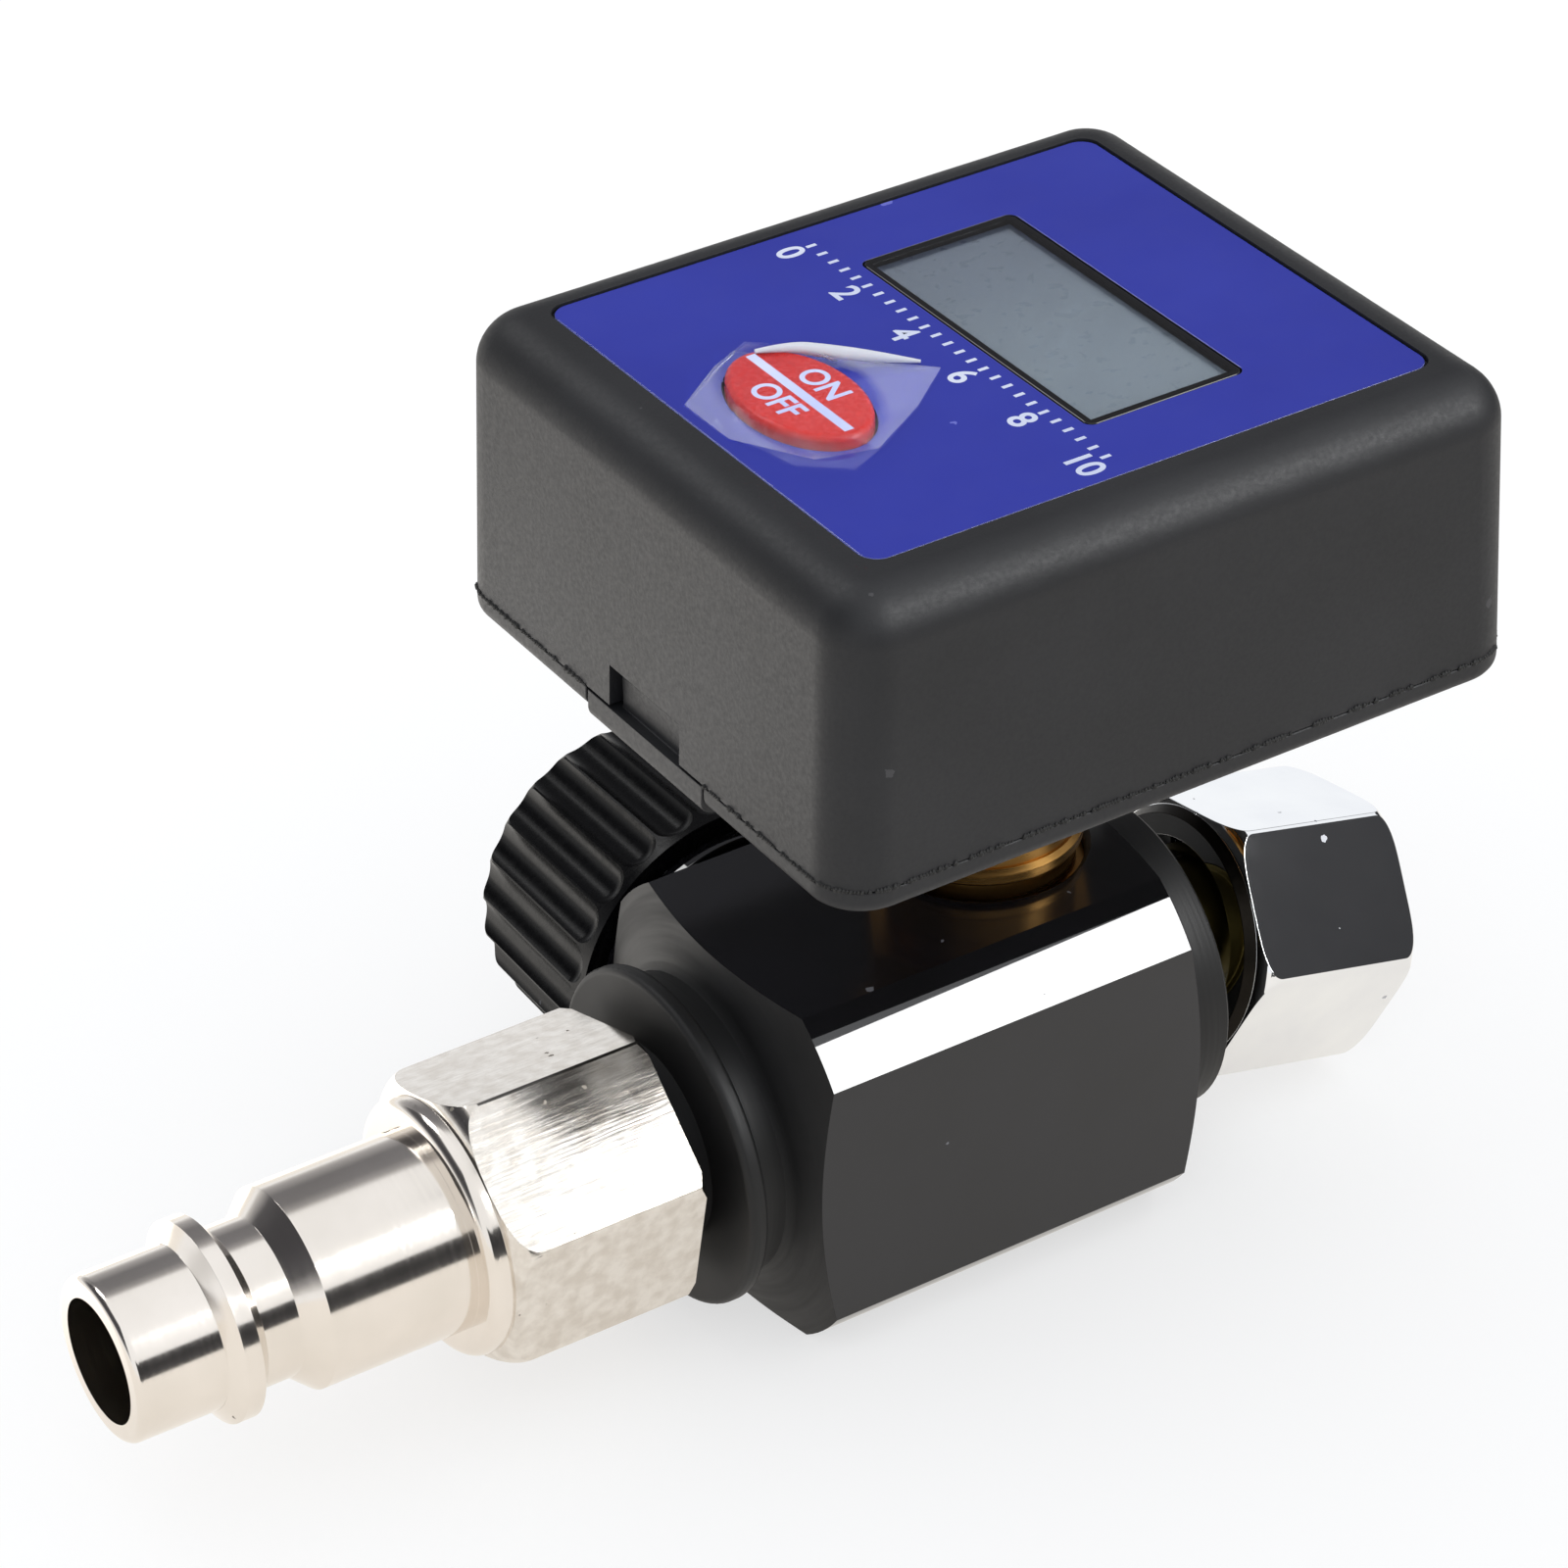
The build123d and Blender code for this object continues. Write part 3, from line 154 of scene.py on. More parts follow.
def corners(node: str) -> tuple[Vector, Vector]:
    """Give the lowest and the highest corner of a CAD node at rest."""
    low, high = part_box(node)
    return Vector(low), Vector(high)


def mesh_of(work: bmesh.types.BMesh, name: str) -> bpy.types.Mesh:
    """Turn worked geometry into a mesh, and free it."""
    mesh = bpy.data.meshes.new(name)
    work.to_mesh(mesh)
    work.free()
    return mesh


def blank(name: str) -> tuple[bpy.types.Material, Nodes, bpy.types.Node]:
    """Make a node material, and give its tree and shader too."""
    made = bpy.data.materials.new(name)
    made.use_nodes = True
    return made, made.node_tree, made.node_tree.nodes["Principled BSDF"]


def object_of(name: str, data: bpy.types.ID) -> bpy.types.Object:
    """Put a mesh, a curve, a lamp or a camera in the scene as an object at the origin."""
    piece = bpy.data.objects.new(name, data)
    bpy.context.collection.objects.link(piece)
    return piece


def baked(piece: bpy.types.Object, name: str) -> bpy.types.Object:
    """Turn an object with modifiers, a curve or a text into a plain mesh object at the origin.

    Args:
        piece: The source object, which is removed.
        name: Name of the new object.

    Returns:
        The new object, with the source's place in its mesh.
    """
    bpy.context.view_layer.update()
    graph = bpy.context.evaluated_depsgraph_get()
    shown = piece.evaluated_get(graph)
    mesh = bpy.data.meshes.new_from_object(shown, preserve_all_data_layers=True, depsgraph=graph)
    mesh.transform(piece.matrix_world)
    bpy.data.objects.remove(piece)
    mesh.name = name
    return object_of(name, mesh)


def tree_with(name: str, kinds: dict[str, str]) -> Nodes:
    """Start a geometry tree with named inputs and one output.

    Args:
        name: Name of the tree.
        kinds: Kind of each input, such as Float, by name.

    Returns:
        The tree, without nodes.
    """
    tree = bpy.data.node_groups.new(name, "GeometryNodeTree")
    for label, kind in kinds.items():
        tree.interface.new_socket(label, in_out="INPUT", socket_type=f"NodeSocket{kind}")
    tree.interface.new_socket("Geometry", in_out="OUTPUT", socket_type="NodeSocketGeometry")
    return tree


def end_tree(tree: Nodes, shape: Socket, material: Socket) -> None:
    """End a geometry tree with real geometry of one material."""
    real = add(tree, "GeometryNodeRealizeInstances", _0=shape)
    dressed = add(tree, "GeometryNodeSetMaterial", _0=real.outputs[0], Material=material)
    add(tree, "NodeGroupOutput", _0=dressed.outputs[0])


def from_tree(name: str, tree: Nodes, values: dict[str, object]) -> bpy.types.Object:
    """Run a geometry tree and keep its result as a plain mesh.

    Args:
        name: Name of the piece.
        tree: The geometry tree.
        values: Value of each input, by name.

    Returns:
        The plain mesh object.
    """
    holder = object_of(name + "_work", bpy.data.meshes.new(name))
    modifier = holder.modifiers.new("shape", "NODES")
    modifier.node_group = tree
    for item in tree.interface.items_tree:
        if item.in_out == "INPUT" and item.name in values:
            modifier[item.identifier] = values[item.name]
    return baked(holder, name)


def softened(
    node: str, name: str, edge_mm: float, *finishes: "Finish | ClearFinish", crease_deg: float = 32.0
) -> bpy.types.Object:
    """Copy a CAD node with its edges broken.

    Args:
        node: Name of the CAD node.
        name: Name of the copy.
        edge_mm: Width of the broken edge.
        *finishes: The copy's finishes, the first of them on all its faces.
        crease_deg: Angle above which an edge is broken.

    Returns:
        The copy.
    """
    mesh = frame["nodes"][node].data.copy()
    mesh.materials.clear()
    work = bmesh.new()
    work.from_mesh(mesh)
    bmesh.ops.remove_doubles(work, verts=work.verts, dist=WELD_MM * MM)
    bmesh.ops.dissolve_limit(
        work, angle_limit=math.radians(FLAT_DEG), verts=work.verts, edges=work.edges, delimit={"NORMAL"}
    )
    for face in work.faces:
        face.smooth = True
    for edge in work.edges:
        edge.smooth = len(edge.link_faces) == 2 and edge.calc_face_angle(0) < math.radians(crease_deg)
    work.to_mesh(mesh)
    work.free()
    piece = object_of(name + "_work", mesh)
    bevel = piece.modifiers.new("edges", "BEVEL")
    bevel.width = edge_mm * MM
    bevel.segments = EDGE_SEGMENTS
    bevel.limit_method = "ANGLE"
    bevel.angle_limit = math.radians(crease_deg)
    bevel.harden_normals = True
    bevel.miter_outer = "MITER_ARC"
    piece.modifiers.new("normals", "WEIGHTED_NORMAL").keep_sharp = True
    piece = baked(piece, name)
    for finish in finishes:
        piece.data.materials.append(finish.build())
    return piece


def place(name: str, body: str, slot: str, *nodes: str) -> None:
    """Fix a finished piece to a body, and let it stand for CAD nodes."""
    piece = bpy.data.objects[name]
    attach(piece, body)
    if nodes:
        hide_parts(*nodes)
    LOG.info("%s: %d faces on %s", name, len(piece.data.polygons), body)


# Finishes


class Grain(Enum):
    """Ways in which a surface's height varies, as the stretch of its pattern along each axis."""

    FINE = (1.0, 1.0, 1.0)
    TURNED_X = (1.0, 0.02, 0.02)
    TURNED_Y = (0.02, 1.0, 0.02)
    TURNED_Z = (0.02, 0.02, 1.0)
    BRUSHED_X = (0.05, 1.0, 1.0)


@dataclass(frozen=True)
class Finish:
    """A real material with its surface, from which a node material is made.

    The colour wanders between two tones, the roughness between two limits, and the height by a
    grain of real size and depth. Small marks, such as dents, chips and dust, are dull spots that are
    drawn where asked, and the colour can shift along Y to a painted shade.
    """

    name: str
    tone: Hex
    shade: Hex
    metallic: float
    roughness: tuple[float, float]
    grain: Grain = Grain.FINE
    grain_mm: float = 0.4
    relief_um: float = 1.0
    cloud_mm: float = 8.0
    swell_um: float = 0.0
    ior: float | None = None
    marks: Hex | None = None
    marks_mm: float = 1.2
    marks_share: float = 0.1
    marks_roughness: float = 0.6
    ragged_share: float = 0.3
    ragged_finer: float = 4.0
    spot_shares: tuple[float, float] = (0.05, 0.2)
    painted_shade: Hex | None = None
    painted_shade_mm: tuple[float, float] = (0.0, 1.0)

    def spots(self, tree: Nodes, where: Socket) -> Socket:
        """Make a mask of small ragged spots, few and far between.

        Args:
            tree: The material's tree.
            where: Object coordinates.

        Returns:
            One inside a spot and zero elsewhere.
        """
        pitch = self.marks_mm * MM
        ragged = add(tree, "ShaderNodeTexNoise", Vector=where, Scale=self.ragged_finer / pitch, Detail=2.0)
        scaled = {"operation": "SCALE"}
        reach = self.ragged_share * self.marks_mm * MM
        shift = add(tree, "ShaderNodeVectorMath", scaled, _0=ragged.outputs["Color"], Scale=reach)
        moved = add(tree, "ShaderNodeVectorMath", {"operation": "ADD"}, _0=where, _1=shift.outputs[0])
        cells = add(tree, "ShaderNodeTexVoronoi", Vector=moved.outputs[0], Scale=1.0 / pitch)
        pick = add(tree, "ShaderNodeSeparateColor", _0=cells.outputs["Color"])
        size = spread(tree, pick.outputs[1], onto=self.spot_shares)
        inside = reckon(tree, "LESS_THAN", cells.outputs["Distance"], size)
        rare = reckon(tree, "LESS_THAN", pick.outputs[0], self.marks_share)
        return reckon(tree, "MULTIPLY", inside, rare)

    def build(self) -> bpy.types.Material:
        """Build the material, once for each finish.

        Returns:
            The node material.
        """
        made = bpy.data.materials.get(self.name)
        if made:
            return made
        made, tree, shader = blank(self.name)
        where = add(tree, "ShaderNodeTexCoord").outputs["Object"]
        along = add(tree, "ShaderNodeMapping", Vector=where, Scale=self.grain.value).outputs[0]
        pitch = self.grain_mm * MM
        grain = add(tree, "ShaderNodeTexNoise", Vector=along, Scale=1.0 / pitch, Detail=3.0, Roughness=0.6)
        grain = grain.outputs["Fac"]
        cloud = add(tree, "ShaderNodeTexNoise", Vector=where, Scale=1.0 / (self.cloud_mm * MM), Detail=4.0)
        cloud = cloud.outputs["Fac"]
        colour = blend(tree, spread(tree, cloud, CLOUD_LIMITS), linear(self.tone), linear(self.shade))
        dullness = spread(tree, grain, GRAIN_LIMITS, self.roughness)
        bump = add(tree, "ShaderNodeBump", Strength=1.0, Distance=self.relief_um * UM, Height=grain)
        slope = bump.outputs[0]
        # Painted shade: the colour shifts along Y towards a darker tone that stands for shading
        if self.painted_shade:
            y = add(tree, "ShaderNodeSeparateXYZ", Vector=where).outputs[1]
            start, end = (limit * MM for limit in self.painted_shade_mm)
            colour = blend(tree, spread(tree, y, (start, end), smooth=True), colour, linear(self.painted_shade))
        if self.swell_um:
            depth = self.swell_um * UM
            swell = add(tree, "ShaderNodeBump", Strength=1.0, Distance=depth, Height=cloud, Normal=slope)
            slope = swell.outputs[0]
        if self.marks:
            spot = self.spots(tree, where)
            colour = blend(tree, spot, colour, linear(self.marks))
            dullness = add(tree, "ShaderNodeMix", _0=spot, _2=dullness, _3=self.marks_roughness).outputs[0]
        feed(tree, shader, Base_Color=colour, Roughness=dullness, Normal=slope, Metallic=self.metallic)
        if self.ior:
            feed(tree, shader, IOR=self.ior)
        return made


@dataclass(frozen=True)
class ClearFinish:
    """A clear plastic or glass, with fine scratches.

    Where asked it has a dark printed border, or turns milky outside an oval, and a glossy coat.
    """

    name: str
    tint: Hex
    roughness: float
    ior: float
    scratch_mm: float = 0.25
    border_mm: float = 0.0
    centre: Point = (0.0, 0.0, 0.0)
    half: tuple[float, float] = (0.0, 0.0)
    haze: float = 0.0
    haze_limits: tuple[float, float] = (0.72, 1.04)
    coat: float = 0.0
    scratch_turn: float = 0.6
    scratch_stretch: float = 0.03
    scratch_limits: tuple[float, float] = (0.8, 0.86)
    scratch_roughness: float = 0.15
    scratch_um: float = 2.0
    border_ink: Hex = "#0a0a0c"

    def haze_mask(self, tree: Nodes, axes: bpy.types.Node) -> Socket:
        """Make a mask that rises from zero inside an oval to one outside it.

        Args:
            tree: The material's tree.
            axes: Node that gives X and Y apart.

        Returns:
            The mask.
        """
        squares = []
        for axis in range(2):
            off = reckon(tree, "SUBTRACT", axes.outputs[axis], self.centre[axis])
            share = reckon(tree, "DIVIDE", off, self.half[axis])
            squares.append(reckon(tree, "MULTIPLY", share, share))
        return spread(tree, reckon(tree, "ADD", *squares), self.haze_limits)

    def build(self) -> bpy.types.Material:
        """Build the material, once for each finish.

        Returns:
            The node material.
        """
        made = bpy.data.materials.get(self.name)
        if made:
            return made
        made, tree, shader = blank(self.name)
        where = add(tree, "ShaderNodeTexCoord").outputs["Object"]
        turn, stretch = (0, 0, self.scratch_turn), (1.0, self.scratch_stretch, 1.0)
        along = add(tree, "ShaderNodeMapping", Vector=where, Rotation=turn, Scale=stretch).outputs[0]
        pitch = self.scratch_mm * MM
        lines = add(tree, "ShaderNodeTexNoise", Vector=along, Scale=1.0 / pitch, Detail=2.0)
        sharp = spread(tree, lines.outputs["Fac"], self.scratch_limits)
        rough = spread(tree, sharp, onto=(self.roughness, self.roughness + self.scratch_roughness))
        bump = add(tree, "ShaderNodeBump", Strength=1.0, Distance=self.scratch_um * UM, Height=sharp)
        feed(tree, shader, Base_Color=linear(self.tint), IOR=self.ior, Coat_Weight=self.coat)
        feed(tree, shader, Roughness=rough, Normal=bump.outputs[0])
        axes = add(tree, "ShaderNodeSeparateXYZ", Vector=where)
        if not self.border_mm:
            clear = spread(tree, self.haze_mask(tree, axes), onto=(1.0, 1.0 - self.haze))
            feed(tree, shader, Transmission_Weight=clear)
            return made
        border = 0.0
        for axis in range(2):
            off = reckon(tree, "SUBTRACT", axes.outputs[axis], self.centre[axis])
            inner = self.half[axis] - self.border_mm * MM
            outside = reckon(tree, "GREATER_THAN", reckon(tree, "ABSOLUTE", off), inner)
            border = reckon(tree, "MAXIMUM", border, outside)
        paint = blend(tree, border, linear(self.tint), linear(self.border_ink))
        feed(tree, shader, Base_Color=paint, Transmission_Weight=reckon(tree, "SUBTRACT", 1.0, border))
        return made


# Black anodised aluminium, milled: a hard skin with a fair gloss and a few dents and bare chips
ANODISED = Finish(
    "aluminium_black_anodised_milled", "#141417", "#18181c", 0.0, (0.1, 0.15), grain_mm=1.2, relief_um=0.4,
    ior=1.5, marks="#6a6b70", marks_mm=1.6, marks_share=0.07,
)
# The drawn bar's own surface, left on the corners: bright under the skin, so it mirrors lamps sharply
ANODISED_BAR = Finish(
    "aluminium_black_anodised_drawn", "#0b0b0d", "#0f0f12", 0.0, (0.015, 0.035), grain_mm=2.0, relief_um=0.2,
    ior=1.77, marks="#8d8e94", marks_mm=1.3, marks_share=0.05,
)
# Turned and then anodised: fine lathe rings scatter the light to a dull sheen
ANODISED_TURNED = Finish(
    "aluminium_black_anodised_turned", "#09090a", "#0d0d0f", 0.0, (0.5, 0.62), Grain.TURNED_X, 0.25, 2.0,
    ior=1.45, marks="#4c4d52", marks_mm=1.6, marks_share=0.04,
)
# The same skin on the knob, tumbled before it was anodised, so that its sheen is soft
ANODISED_KNOB = Finish(
    "aluminium_black_anodised_tumbled", "#070708", "#0a0a0c", 0.0, (0.22, 0.32), grain_mm=0.5, relief_um=1.5,
    ior=1.22, marks="#55565a", marks_mm=2.0, marks_share=0.04,
)
# Nickel plate over turned steel: warm white mirror with faint lathe rings
NICKEL = Finish(
    "steel_nickel_plated_turned", "#ebe4dc", "#e2dbd2", 1.0, (0.1, 0.15), Grain.TURNED_X, 0.3, 0.5,
    marks="#8d8880", marks_mm=2.2, marks_share=0.03,
)
# Nickel plate over a drawn hexagon, tumbled: satin, faintly brushed along the bar and mottled
NICKEL_HEX = Finish(
    "steel_nickel_plated_drawn", "#e3ded7", "#d2cbc2", 1.0, (0.09, 0.15), Grain.BRUSHED_X, 0.2, 4.0,
    cloud_mm=1.0, swell_um=2.5, marks="#a09a91", marks_mm=0.9, marks_share=0.08,
)
# Chromium plate over machined steel: cold mirror with specks
CHROME = Finish(
    "steel_chromium_plated", "#eceded", "#e4e5e7", 1.0, (0.02, 0.05), grain_mm=3.0, relief_um=0.6,
    marks="#b9bbc0", marks_mm=1.3, marks_share=0.12,
)
# The band turned at the nut's end, in painted shade: dark where its chrome mirrors the black body beside it and
# lies in shade
NUT_MOUTH_PAINTED_SHADE = Finish("steel_turned_painted_shade", "#26231f", "#191715", 1.0, (0.3, 0.42), grain_mm=0.4, relief_um=1.5)
# Turned brass, a little tarnished
BRASS = Finish("brass_turned", "#b98c50", "#94703c", 1.0, (0.24, 0.38), Grain.TURNED_Z, 0.3, 3.0)
# Brass of the outlet's tail, painted a dark olive for the shade that falls on it between the body and the nut
BRASS_TAIL_PAINTED_SHADE = Finish(
    "brass_turned_painted_shade", "#5c522c", "#484022", 1.0, (0.34, 0.46), Grain.TURNED_X, 0.3, 2.0,
)
# Zinc plated steel of screws and springs
ZINC = Finish("steel_zinc_plated", "#b9bcbf", "#9a9da1", 1.0, (0.22, 0.38), grain_mm=0.3, relief_um=2.0)
# Turned aluminium, bare
ALUMINIUM = Finish("aluminium_turned", "#c4c6c8", "#aeb0b3", 1.0, (0.2, 0.3), Grain.TURNED_Y, 0.2, 2.0)
# Nitrile rubber of rings and contact strips
RUBBER = Finish(
    "nitrile_rubber_moulded", "#141414", "#1d1d1d", 0.0, (0.55, 0.75), grain_mm=0.2, relief_um=6.0,
)
# Dark grey ABS with a fine moulded texture that turns reflections to a soft sheen
CASE_ABS = Finish(
    "abs_moulded_fine_texture", "#15161a", "#1b1c20", 0.0, (0.5, 0.6), grain_mm=0.3, relief_um=7.0,
    cloud_mm=9.0, ior=1.46, marks="#3a3a3d", marks_mm=2.4, marks_share=0.05,
)
# Back-printed polycarbonate label: blue under a gloss face
LABEL = Finish(
    "polycarbonate_label_blue", "#27309a", "#2c36a2", 0.0, (0.1, 0.16), grain_mm=2.5, relief_um=1.2,
    cloud_mm=16.0, ior=1.58, marks="#5960c4", marks_mm=3.0, marks_share=0.03,
)
# Cut edge of the label's clear sheet, which gathers light
LABEL_EDGE = Finish(
    "polycarbonate_cut_edge", "#8c95dd", "#7a84d4", 0.0, (0.3, 0.45), grain_mm=0.3, relief_um=6.0, ior=1.58,
)
# Red polycarbonate, moulded; the film over it takes away part of its gloss, so its IOR is low
BUTTON = Finish(
    "polycarbonate_button_red", "#c41c13", "#cf2b1f", 0.0, (0.22, 0.32), grain_mm=0.5, relief_um=1.0,
    ior=1.3,
)
# Black ink on the walls of the display's opening
BLACK_INK = Finish("ink_black_printed", "#0b0b0e", "#111115", 0.0, (0.35, 0.45), grain_mm=0.2, relief_um=1.0)
# White screen-printed ink
INK = Finish("ink_white_printed", "#d5dbee", "#c3cbe6", 0.0, (0.4, 0.55), grain_mm=0.2, relief_um=2.0)
# Lacquered glass-fibre board
BOARD = Finish("board_green_lacquered", "#0f5a2c", "#0b4a24", 0.0, (0.3, 0.45), grain_mm=0.5, relief_um=3.0)
# Grey-green reflective display, with painted shade that makes it bluer and darker towards its back
DISPLAY = Finish(
    "display_glass_grey", "#a2a9b2", "#979fab", 0.0, (0.25, 0.35), grain_mm=1.0, relief_um=0.5, cloud_mm=12.0,
    painted_shade="#6a7186", painted_shade_mm=(-7.0, 15.0),
)


# Sub-assemblies


@dataclass
class Body:
    """Anodised body, milled flat between its turned ends, with its bonnet."""

    edge_mm: float = 0.16
    half_block_mm: float = 13.25
    flat_limit: float = 0.97
    end_limit: float = 0.3

    def surface(self, face: bpy.types.MeshPolygon) -> int:
        """Tell how a face was made: 0 milled flat, 1 the drawn bar's own surface, 2 turned."""
        normal = face.normal
        if abs(face.center.x) > self.half_block_mm * MM or abs(normal.x) > self.end_limit:
            return 2
        return 0 if max(abs(normal.y), abs(normal.z)) > self.flat_limit else 1

    def build(self) -> None:
        """Dress the body and the bonnet."""
        surfaces = (ANODISED, ANODISED_BAR, ANODISED_TURNED)
        body = softened("regulator_body", "regulator_body_skin", self.edge_mm, *surfaces)
        for face in body.data.polygons:
            face.material_index = self.surface(face)
        place(body.name, "regulator", "anodised_black", "regulator_body")
        bonnet = softened("bonnet", "bonnet_skin", self.edge_mm, ANODISED_BAR)
        place(bonnet.name, "regulator", "anodised_black", "bonnet")


@dataclass
class Inlet:
    """Nickel plated plug, turned from hexagon bar."""

    edge_mm: float = 0.15
    hex_start_mm: float = -33.9
    hex_end_mm: float = -20.4
    hex_foot_mm: float = 8.38
    crease_deg: float = 24.0

    def build(self) -> None:
        """Dress the plug, with the drawn hexagon's satin kept apart from the turned lengths."""
        coats = (NICKEL, NICKEL_HEX)
        piece = softened("inlet_nipple", "inlet_plug_skin", self.edge_mm, *coats, crease_deg=self.crease_deg)
        low, high = corners("inlet_nipple")
        middle = (low + high) / 2
        for face in piece.data.polygons:
            x = face.center.x / MM
            off_axis = math.hypot(face.center.y - middle.y, face.center.z - middle.z) / MM
            if self.hex_start_mm < x < self.hex_end_mm and off_axis > self.hex_foot_mm:
                face.material_index = 1
        place(piece.name, "regulator", "nickel_plate", "inlet_nipple")


@dataclass
class Outlet:
    """Brass tail with the chromium plated swivel nut, and the nut's thread."""

    edge_mm: float = 0.14
    tail_edge_mm: float = 0.08
    pitch_mm: float = 1.34
    turns: float = 4.6
    depth_mm: float = 0.75
    crease_deg: float = 24.0
    band_mm: float = 0.6
    band_foot_mm: float = 7.0

    def build(self) -> None:
        """Dress the tail and the nut, and cut the nut's thread."""
        # The tail's dark olive is painted shade
        tail = softened("outlet_tail", "outlet_tail_skin", self.tail_edge_mm, BRASS_TAIL_PAINTED_SHADE)
        place(tail.name, "regulator", "turned_brass", "outlet_tail")
        coats = (CHROME, NUT_MOUTH_PAINTED_SHADE)
        nut = softened("outlet_nut", "outlet_nut_skin", self.edge_mm, *coats, crease_deg=self.crease_deg)
        axis, mouth, _ = self.mouth()
        end = min(axis.dot(vertex.co) for vertex in nut.data.vertices)
        for face in nut.data.polygons:
            along = axis.dot(face.center)
            off_axis = (face.center - mouth - axis * (along - axis.dot(mouth))).length
            # Faces of the band at the nut's mouth get the painted shade of the second finish
            if along - end < self.band_mm * MM and off_axis > self.band_foot_mm * MM:
                face.material_index = 1
        place(nut.name, "swivel_nut", "chrome_plate", "outlet_nut")
        self.build_thread()

    def mouth(self) -> tuple[Vector, Vector, float]:
        """Give the nut's axis, the middle of its mouth and its thread's radius in millimetres."""
        joint = next(j for j in frame["joints"] if j["name"] == "nut_spin")
        mount = next(m for m in frame["record"]["mounts"] if m["name"] == "outlet_thread")
        return Vector(joint["axis"]), Vector(mount["pos_m"]), mount["dims"]["r_mm"]

    def thread_tree(self) -> Nodes:
        """Make the tree of a thread's ridge.

        Returns:
            A tree with the inputs Radius, Pitch, Turns, Depth and Metal.
        """
        sizes = dict.fromkeys(("Radius", "Pitch", "Turns", "Depth"), "Float")
        tree = tree_with("thread_ridge", sizes | {"Metal": "Material"})
        given = add(tree, "NodeGroupInput").outputs
        height = reckon(tree, "MULTIPLY", given["Pitch"], given["Turns"])
        helix = add(
            tree, "GeometryNodeCurveSpiral", Resolution=40, Rotations=given["Turns"],
            Start_Radius=given["Radius"], End_Radius=given["Radius"], Height=height,
        )
        profile = add(tree, "GeometryNodeCurvePrimitiveCircle", Resolution=4, Radius=given["Depth"])
        ridge = add(tree, "GeometryNodeCurveToMesh", _0=helix.outputs[0], _1=profile.outputs[0])
        end_tree(tree, ridge.outputs[0], given["Metal"])
        return tree

    def build_thread(self) -> None:
        """Build the nut's inner thread as a ridge on its wall."""
        axis, mouth, radius_mm = self.mouth()
        values = {
            "Radius": radius_mm * MM,
            "Pitch": self.pitch_mm * MM,
            "Turns": self.turns,
            "Depth": self.depth_mm * MM,
            "Metal": CHROME.build(),
        }
        ridge = from_tree("outlet_thread", self.thread_tree(), values)
        middle = mouth - axis * self.pitch_mm * self.turns * MM / 2
        ridge.data.transform(Matrix.Translation(middle) @ axis.to_track_quat("Z", "Y").to_matrix().to_4x4())
        place(ridge.name, "swivel_nut", "chrome_plate")


@dataclass
class Knob:
    """Fluted knob."""

    edge_mm: float = 0.1

    def build(self) -> None:
        """Dress the knob."""
        knob = softened("adjusting_knob", "knob_skin", self.edge_mm, ANODISED_KNOB)
        place(knob.name, "knob", "anodised_black", "adjusting_knob")


